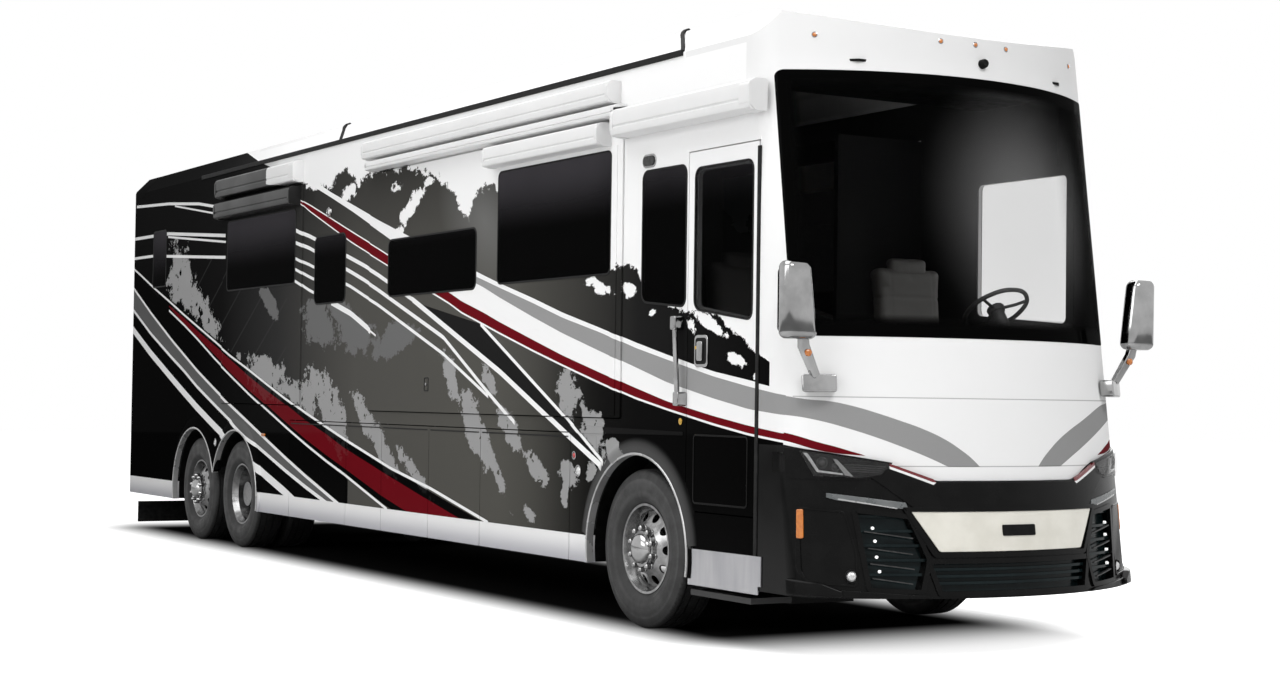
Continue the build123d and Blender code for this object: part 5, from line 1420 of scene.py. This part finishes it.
def puff(piece, voxel=0.012):
    """Remeshes a pad, inflates it with the Cloth modifier and applies the result, capped."""
    remesh = piece.modifiers.new("remesh", "REMESH")
    remesh.mode, remesh.voxel_size = "VOXEL", voxel
    settle(piece)
    rest = [vert.co.copy() for vert in piece.data.vertices]
    cloth = piece.modifiers.new("cloth", "CLOTH")
    cloth.settings.use_pressure = True
    cloth.settings.uniform_pressure_force = 4.0
    cloth.settings.effector_weights.gravity = 0.0
    scene = bpy.context.scene
    for number in range(1, 21):
        scene.frame_set(number)
    settle(piece)
    scene.frame_set(1)
    for vert, start in zip(piece.data.vertices, rest):
        move = vert.co - start
        if move.length > SWELL_CAP:
            vert.co = start + move.normalized() * SWELL_CAP


def settle(piece):
    """Applies a piece's modifiers, so that its mesh is the evaluated one."""
    graph = bpy.context.evaluated_depsgraph_get()
    mesh = bpy.data.meshes.new_from_object(piece.evaluated_get(graph))
    piece.modifiers.clear()
    piece.data = mesh


def pad(name, size, centre, lean, seams):
    """A padded block: seams are (axis, place) lines pressed into it."""
    bm = bmesh.new()
    bmesh.ops.create_cube(bm, size=1.0)
    bmesh.ops.scale(bm, vec=[edge - 0.02 for edge in size], verts=bm.verts)
    bmesh.ops.bevel(bm, geom=bm.edges[:], offset=min(size) * 0.3, segments=4, profile=0.5, affect="EDGES", material=-1)
    bmesh.ops.subdivide_edges(bm, edges=[e for e in bm.edges if e.calc_length() > 0.05], cuts=6, use_grid_fill=True)
    for vert in bm.verts:
        across, up = vert.co.x / size[0] * 2, vert.co.z / size[2] * 2
        vert.co.y *= 1.0 - 0.05 * (1 - across * across)
        vert.co.x *= 1.0 - 0.04 * (1 - up * up)
    mesh = bpy.data.meshes.new(name)
    bm.to_mesh(mesh)
    bm.free()
    piece = bpy.data.objects.new(name, mesh)
    bpy.context.collection.objects.link(piece)
    puff(piece)
    turn = Matrix.Translation(centre) @ Matrix.Rotation(math.radians(lean), 4, "X")
    for vert in piece.data.vertices:
        for axis, place in seams:
            away = (vert.co[axis] - place) / 0.01
            vert.co -= vert.normal * 0.007 * math.exp(-away * away)
        vert.co = turn @ vert.co
    piece.data.materials.clear()
    piece.data.materials.append(FINISH["leather"])
    for polygon in piece.data.polygons:
        polygon.use_smooth = True
    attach(piece, "coach")
    return piece


print("swell is capped at", SWELL_CAP, "m")

# %% [markdown]
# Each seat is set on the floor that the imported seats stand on, and lifted by a turned steel pedestal.

# %% Cab seats
SEAT_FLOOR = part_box("front_seats")[0][2]


def cab_seat(word, x, s):
    y, floor = FRONT_AXLE_Y + s, SEAT_FLOOR
    first = pad("seat_cushion_" + word, (0.52, 0.5, 0.17), (x, y - 0.3, floor + 0.335), 3.0, ((0, -0.15), (0, 0.15)))
    pad("seat_back_" + word, (0.58, 0.16, 0.78), (x, y - 0.01, floor + 0.74), -5.0, ((0, -0.18), (0, 0.18), (2, 0.16)))
    pad("seat_headrest_" + word, (0.34, 0.11, 0.17), (x, y, floor + 1.1), -4.0, ((0, 0.0),))
    for edge in (-1, 1):
        pad("seat_arm_%s_%s" % (word, "outer" if edge * x > 0 else "inner"), (0.055, 0.34, 0.06),
            (x + edge * 0.245, y - 0.25, floor + 0.555), 0.0, ())
    post = [(0.0, 0.0), (0.0, 0.135), (0.02, 0.13), (0.03, 0.105), (0.2, 0.105), (0.22, 0.15), (0.245, 0.15),
        (0.25, 0.0)]
    turned_piece("seat_pedestal_" + word, post, (x, y - 0.29, floor), (0, 0, 1), "steel", steps=32)
    return first


driver = cab_seat("driver", 0.6, -0.42)
cab_seat("mate", -0.6, -0.17)
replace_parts(driver, "front_seats")
print("seat floor at", round(SEAT_FLOOR, 3))

# %% [markdown]
# The driver's place: a hood over the instruments, two dark screens, and a rim, spokes and horn pad for
# the wheel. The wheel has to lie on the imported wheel's own tilted axis.

# %% Dash and wheel
WHEEL_Y, WHEEL_Z, RIM_R = FRONT_AXLE_Y - 1.36, 2.13, 0.214
rake = math.radians(35.0)
axis = Vector((0.0, math.sin(rake), math.cos(rake)))
uphill = Vector((0.0, axis.z, -axis.y))
hub = Vector((0.6, WHEEL_Y, WHEEL_Z))


def outward(turn):
    """The direction from the hub to a point of the rim."""
    return Vector((math.cos(turn), 0, 0)) + uphill * math.sin(turn)


def wheel_rim():
    ring = [hub + outward(number * math.pi / 4) * RIM_R for number in range(8)]
    rim = rod("wheel_rim", ring, 0.0148, "dash", closed=True)
    for number, degrees in enumerate((90.0, 210.0, 330.0)):
        out = outward(math.radians(degrees))
        spoke = [hub + out * 0.05, hub + out * 0.13 - axis * 0.004, hub + out * 0.205]
        rod("wheel_spoke_%d" % number, spoke, 0.0105, "dash")
    turned_piece("wheel_horn_pad", [(-0.026, 0.0), (-0.026, 0.054), (0.008, 0.06), (0.018, 0.054), (0.02, 0.0)], hub,
        axis, "dash", steps=36)
    return rim


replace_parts(wheel_rim(), "steering_wheel")
arch = [(0.3, 1.862), (0.9, 1.862), (0.88, 1.93), (0.8, 1.965), (0.6, 1.978), (0.4, 1.965), (0.32, 1.93)]
points = [(x, FRONT_AXLE_Y - 1.6, z) for x, z in arch]
cut_plate("instrument_hood", points, (0, -0.22, 0), "dash", bevel=0.008, radius=0.01, steps=2)
for name, x0, x1, z0, z1 in (("instrument_screen", 0.4, 0.8, 1.875, 1.945),
    ("route_screen", -0.16, 0.16, 1.865, 1.985)):
    points = [(x, FRONT_AXLE_Y - 1.598, z) for x, z in rect(x0, x1, z0, z1)]
    cut_plate(name, points, (0, 0.01, 0), "gloss_black", bevel=0.002, radius=0.012, steps=3)
print("wheel hub at", [round(value, 3) for value in hub])

# %% [markdown]
# The tail. Behind the engine door's louvres the radiator breathes, so the door gets a framed panel of
# slats; the tail also has a blank plate in a frame, marker lamps, lamp clusters and a camera.

# %% Tail fittings
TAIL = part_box("rear_cap")[1][1]


def on_tail(node, x, z):
    """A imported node's surface, met from behind."""
    return touch(node, (x, TAIL + 2.0, z), (0, -1, 0))


def tail_plate(name, corners, finish, deep, body="coach", radius=0.0, bevel=0.002, ring=0.0):
    """A flat plate on the tail, set on the surface behind its own middle."""
    x0, x1, z0, z1 = corners
    node = "engine_door" if body == "engine_door" else "rear_cap"
    place, _ = on_tail(node, (x0 + x1) / 2 + 0.001, (z0 + z1) / 2)
    bm = bmesh.new()
    flat_face(bm, [(x, place.y - 0.004, z) for x, z in rect(*corners)], radius)
    keep_rim(bm, ring)
    thicken(bm, (0, deep, 0))
    return finish_piece(bm, name, finish, body, bevel)


tail_plate("louvre_frame", (-0.7, 0.7, 0.96, 1.48), "trim", 0.016, "engine_door", 0.03, 0.004, 0.03)
tail_plate("louvre_back", (-0.675, 0.675, 0.985, 1.455), "rubber", 0.006, "engine_door")
SLAT = [(-0.016, 0.0), (0.0, -0.01), (0.004, -0.004), (-0.01, 0.034), (-0.016, 0.036)]
for number in range(9):
    z = 1.005 + number * 0.052
    points = [(-0.672, TAIL + back, z + up) for back, up in SLAT]
    cut_plate("louvre_slat_%d" % number, points, (1.344, 0, 0), "gloss_black", "engine_door")
tail_plate("door_handle_rear", (-0.09, 0.09, 0.845, 0.885), "chrome", 0.018, "engine_door", 0.018, 0.004)
tail_plate("plate_frame", (-0.175, 0.175, 1.64, 1.83), "trim", 0.014, "coach", 0.012, 0.003, 0.012)
tail_plate("plate_blank", (-0.165, 0.165, 1.65, 1.82), "white", 0.008, "coach", 0.01)
for number, x in enumerate((-1.05, -0.16, 0.0, 0.16, 1.05)):
    place, normal = on_tail("rear_cap", x, 3.8)
    turned_piece("tail_marker_%d" % number, MARKER, place, normal, "ruby", steps=20)
place, normal = on_tail("rear_cap", 0.0, 3.66)
turned_piece("tail_camera", [(-0.004, 0.04), (0.03, 0.038), (0.045, 0.03), (0.046, 0.018), (0.038, 0.0)], place, normal,
    "trim", steps=24)
for side, word in SIDES:
    x0, x1 = sorted((side * 0.985, side * 1.105))
    for number, (z0, z1, finish) in enumerate(((1.225, 1.375, "ruby"), (1.385, 1.475, "amber"),
        (1.485, 1.625, "ruby"))):
        place, _ = on_tail("lamps", (x0 + x1) / 2, (z0 + z1) / 2)
        points = [(x, place.y - 0.004, z) for x, z in rect(x0 + 0.008, x1 - 0.008, z0, z1)]
        cut_plate("tail_lamp_%d_%s" % (number, word), points, (0, 0.012, 0), finish, bevel=0.004, radius=0.014)
print("tail face at", round(TAIL, 3))

# %% [markdown]
# Each roof unit breathes through a row of slits in its shroud.

# %% Roof unit slits
SHROUD_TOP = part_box("roof_air_units")[1][2]
for number, s in enumerate((1.4, 4.9, 8.3)):
    for row in range(7):
        y = FRONT_AXLE_Y + s - 0.3 + row * 0.1
        points = [(x, back, SHROUD_TOP - 0.002) for x, back in rect(-0.24, 0.24, y - 0.018, y + 0.018)]
        cut_plate("roof_slit_%d_%d" % (number, row), points, (0, 0, 0.006), "trim", bevel=0.001, radius=0.016, steps=3)
print("shroud top at", round(SHROUD_TOP, 3))

# %% [markdown]
# The tail's roof runs on to a small round corner. Rings of the body's own section, each a little
# smaller than the one before, make that crown, and a black sheet under the cab's ceiling is painted
# shade, standing in for the shade up there.

# %% Tail crown and painted shade over the cab
EAVE_Z = 3.7
HALF_RING = [(1.29, EAVE_Z), (1.29, 3.75), (1.13, 3.935), (0.6, 3.971)]
RING = HALF_RING + [(0.0, 3.985)] + [(-x, z) for x, z in reversed(HALF_RING)]
CORNER_ROUND, TOP_ROUND, TAIL_END = 0.2, 0.075, 11.338
crown = bmesh.new()
rings = []
for s in (10.86, 11.0, 11.1, 11.16, 11.21, 11.26, 11.285, 11.305, 11.32, 11.331, TAIL_END):
    late, high = max(0.0, s - 11.37 + CORNER_ROUND), max(0.0, s - TAIL_END + TOP_ROUND)
    narrow = CORNER_ROUND - math.sqrt(CORNER_ROUND ** 2 - late ** 2)
    drop = TOP_ROUND - math.sqrt(TOP_ROUND ** 2 - high ** 2)
    rings.append([crown.verts.new((x * (1.2915 - narrow) / 1.29, FRONT_AXLE_Y + s,
        z + 0.001 - (drop if z > EAVE_Z else 0.0))) for x, z in RING])
for near, far in zip(rings, rings[1:]):
    for number in range(len(RING)):
        after = (number + 1) % len(RING)
        crown.faces.new((near[number], near[after], far[after], far[number]))
for end in (rings[0], rings[-1]):
    crown.faces.new(end)
finish_piece(crown, "tail_crown", body_finish, angle=50)
CEILING = [(-0.8, -1.72), (0.8, -1.72), (1.18, -1.34), (1.18, -0.5), (-1.18, -0.5), (-1.18, -1.34)]
# painted shade: a black sheet under the cab's ceiling, standing in for the shade up there
cut_plate("cab_shade_sheet", [(x, FRONT_AXLE_Y + s, 3.575) for x, s in CEILING], (0, 0, 0.015), "trim")
print("tail crown rings", len(rings))
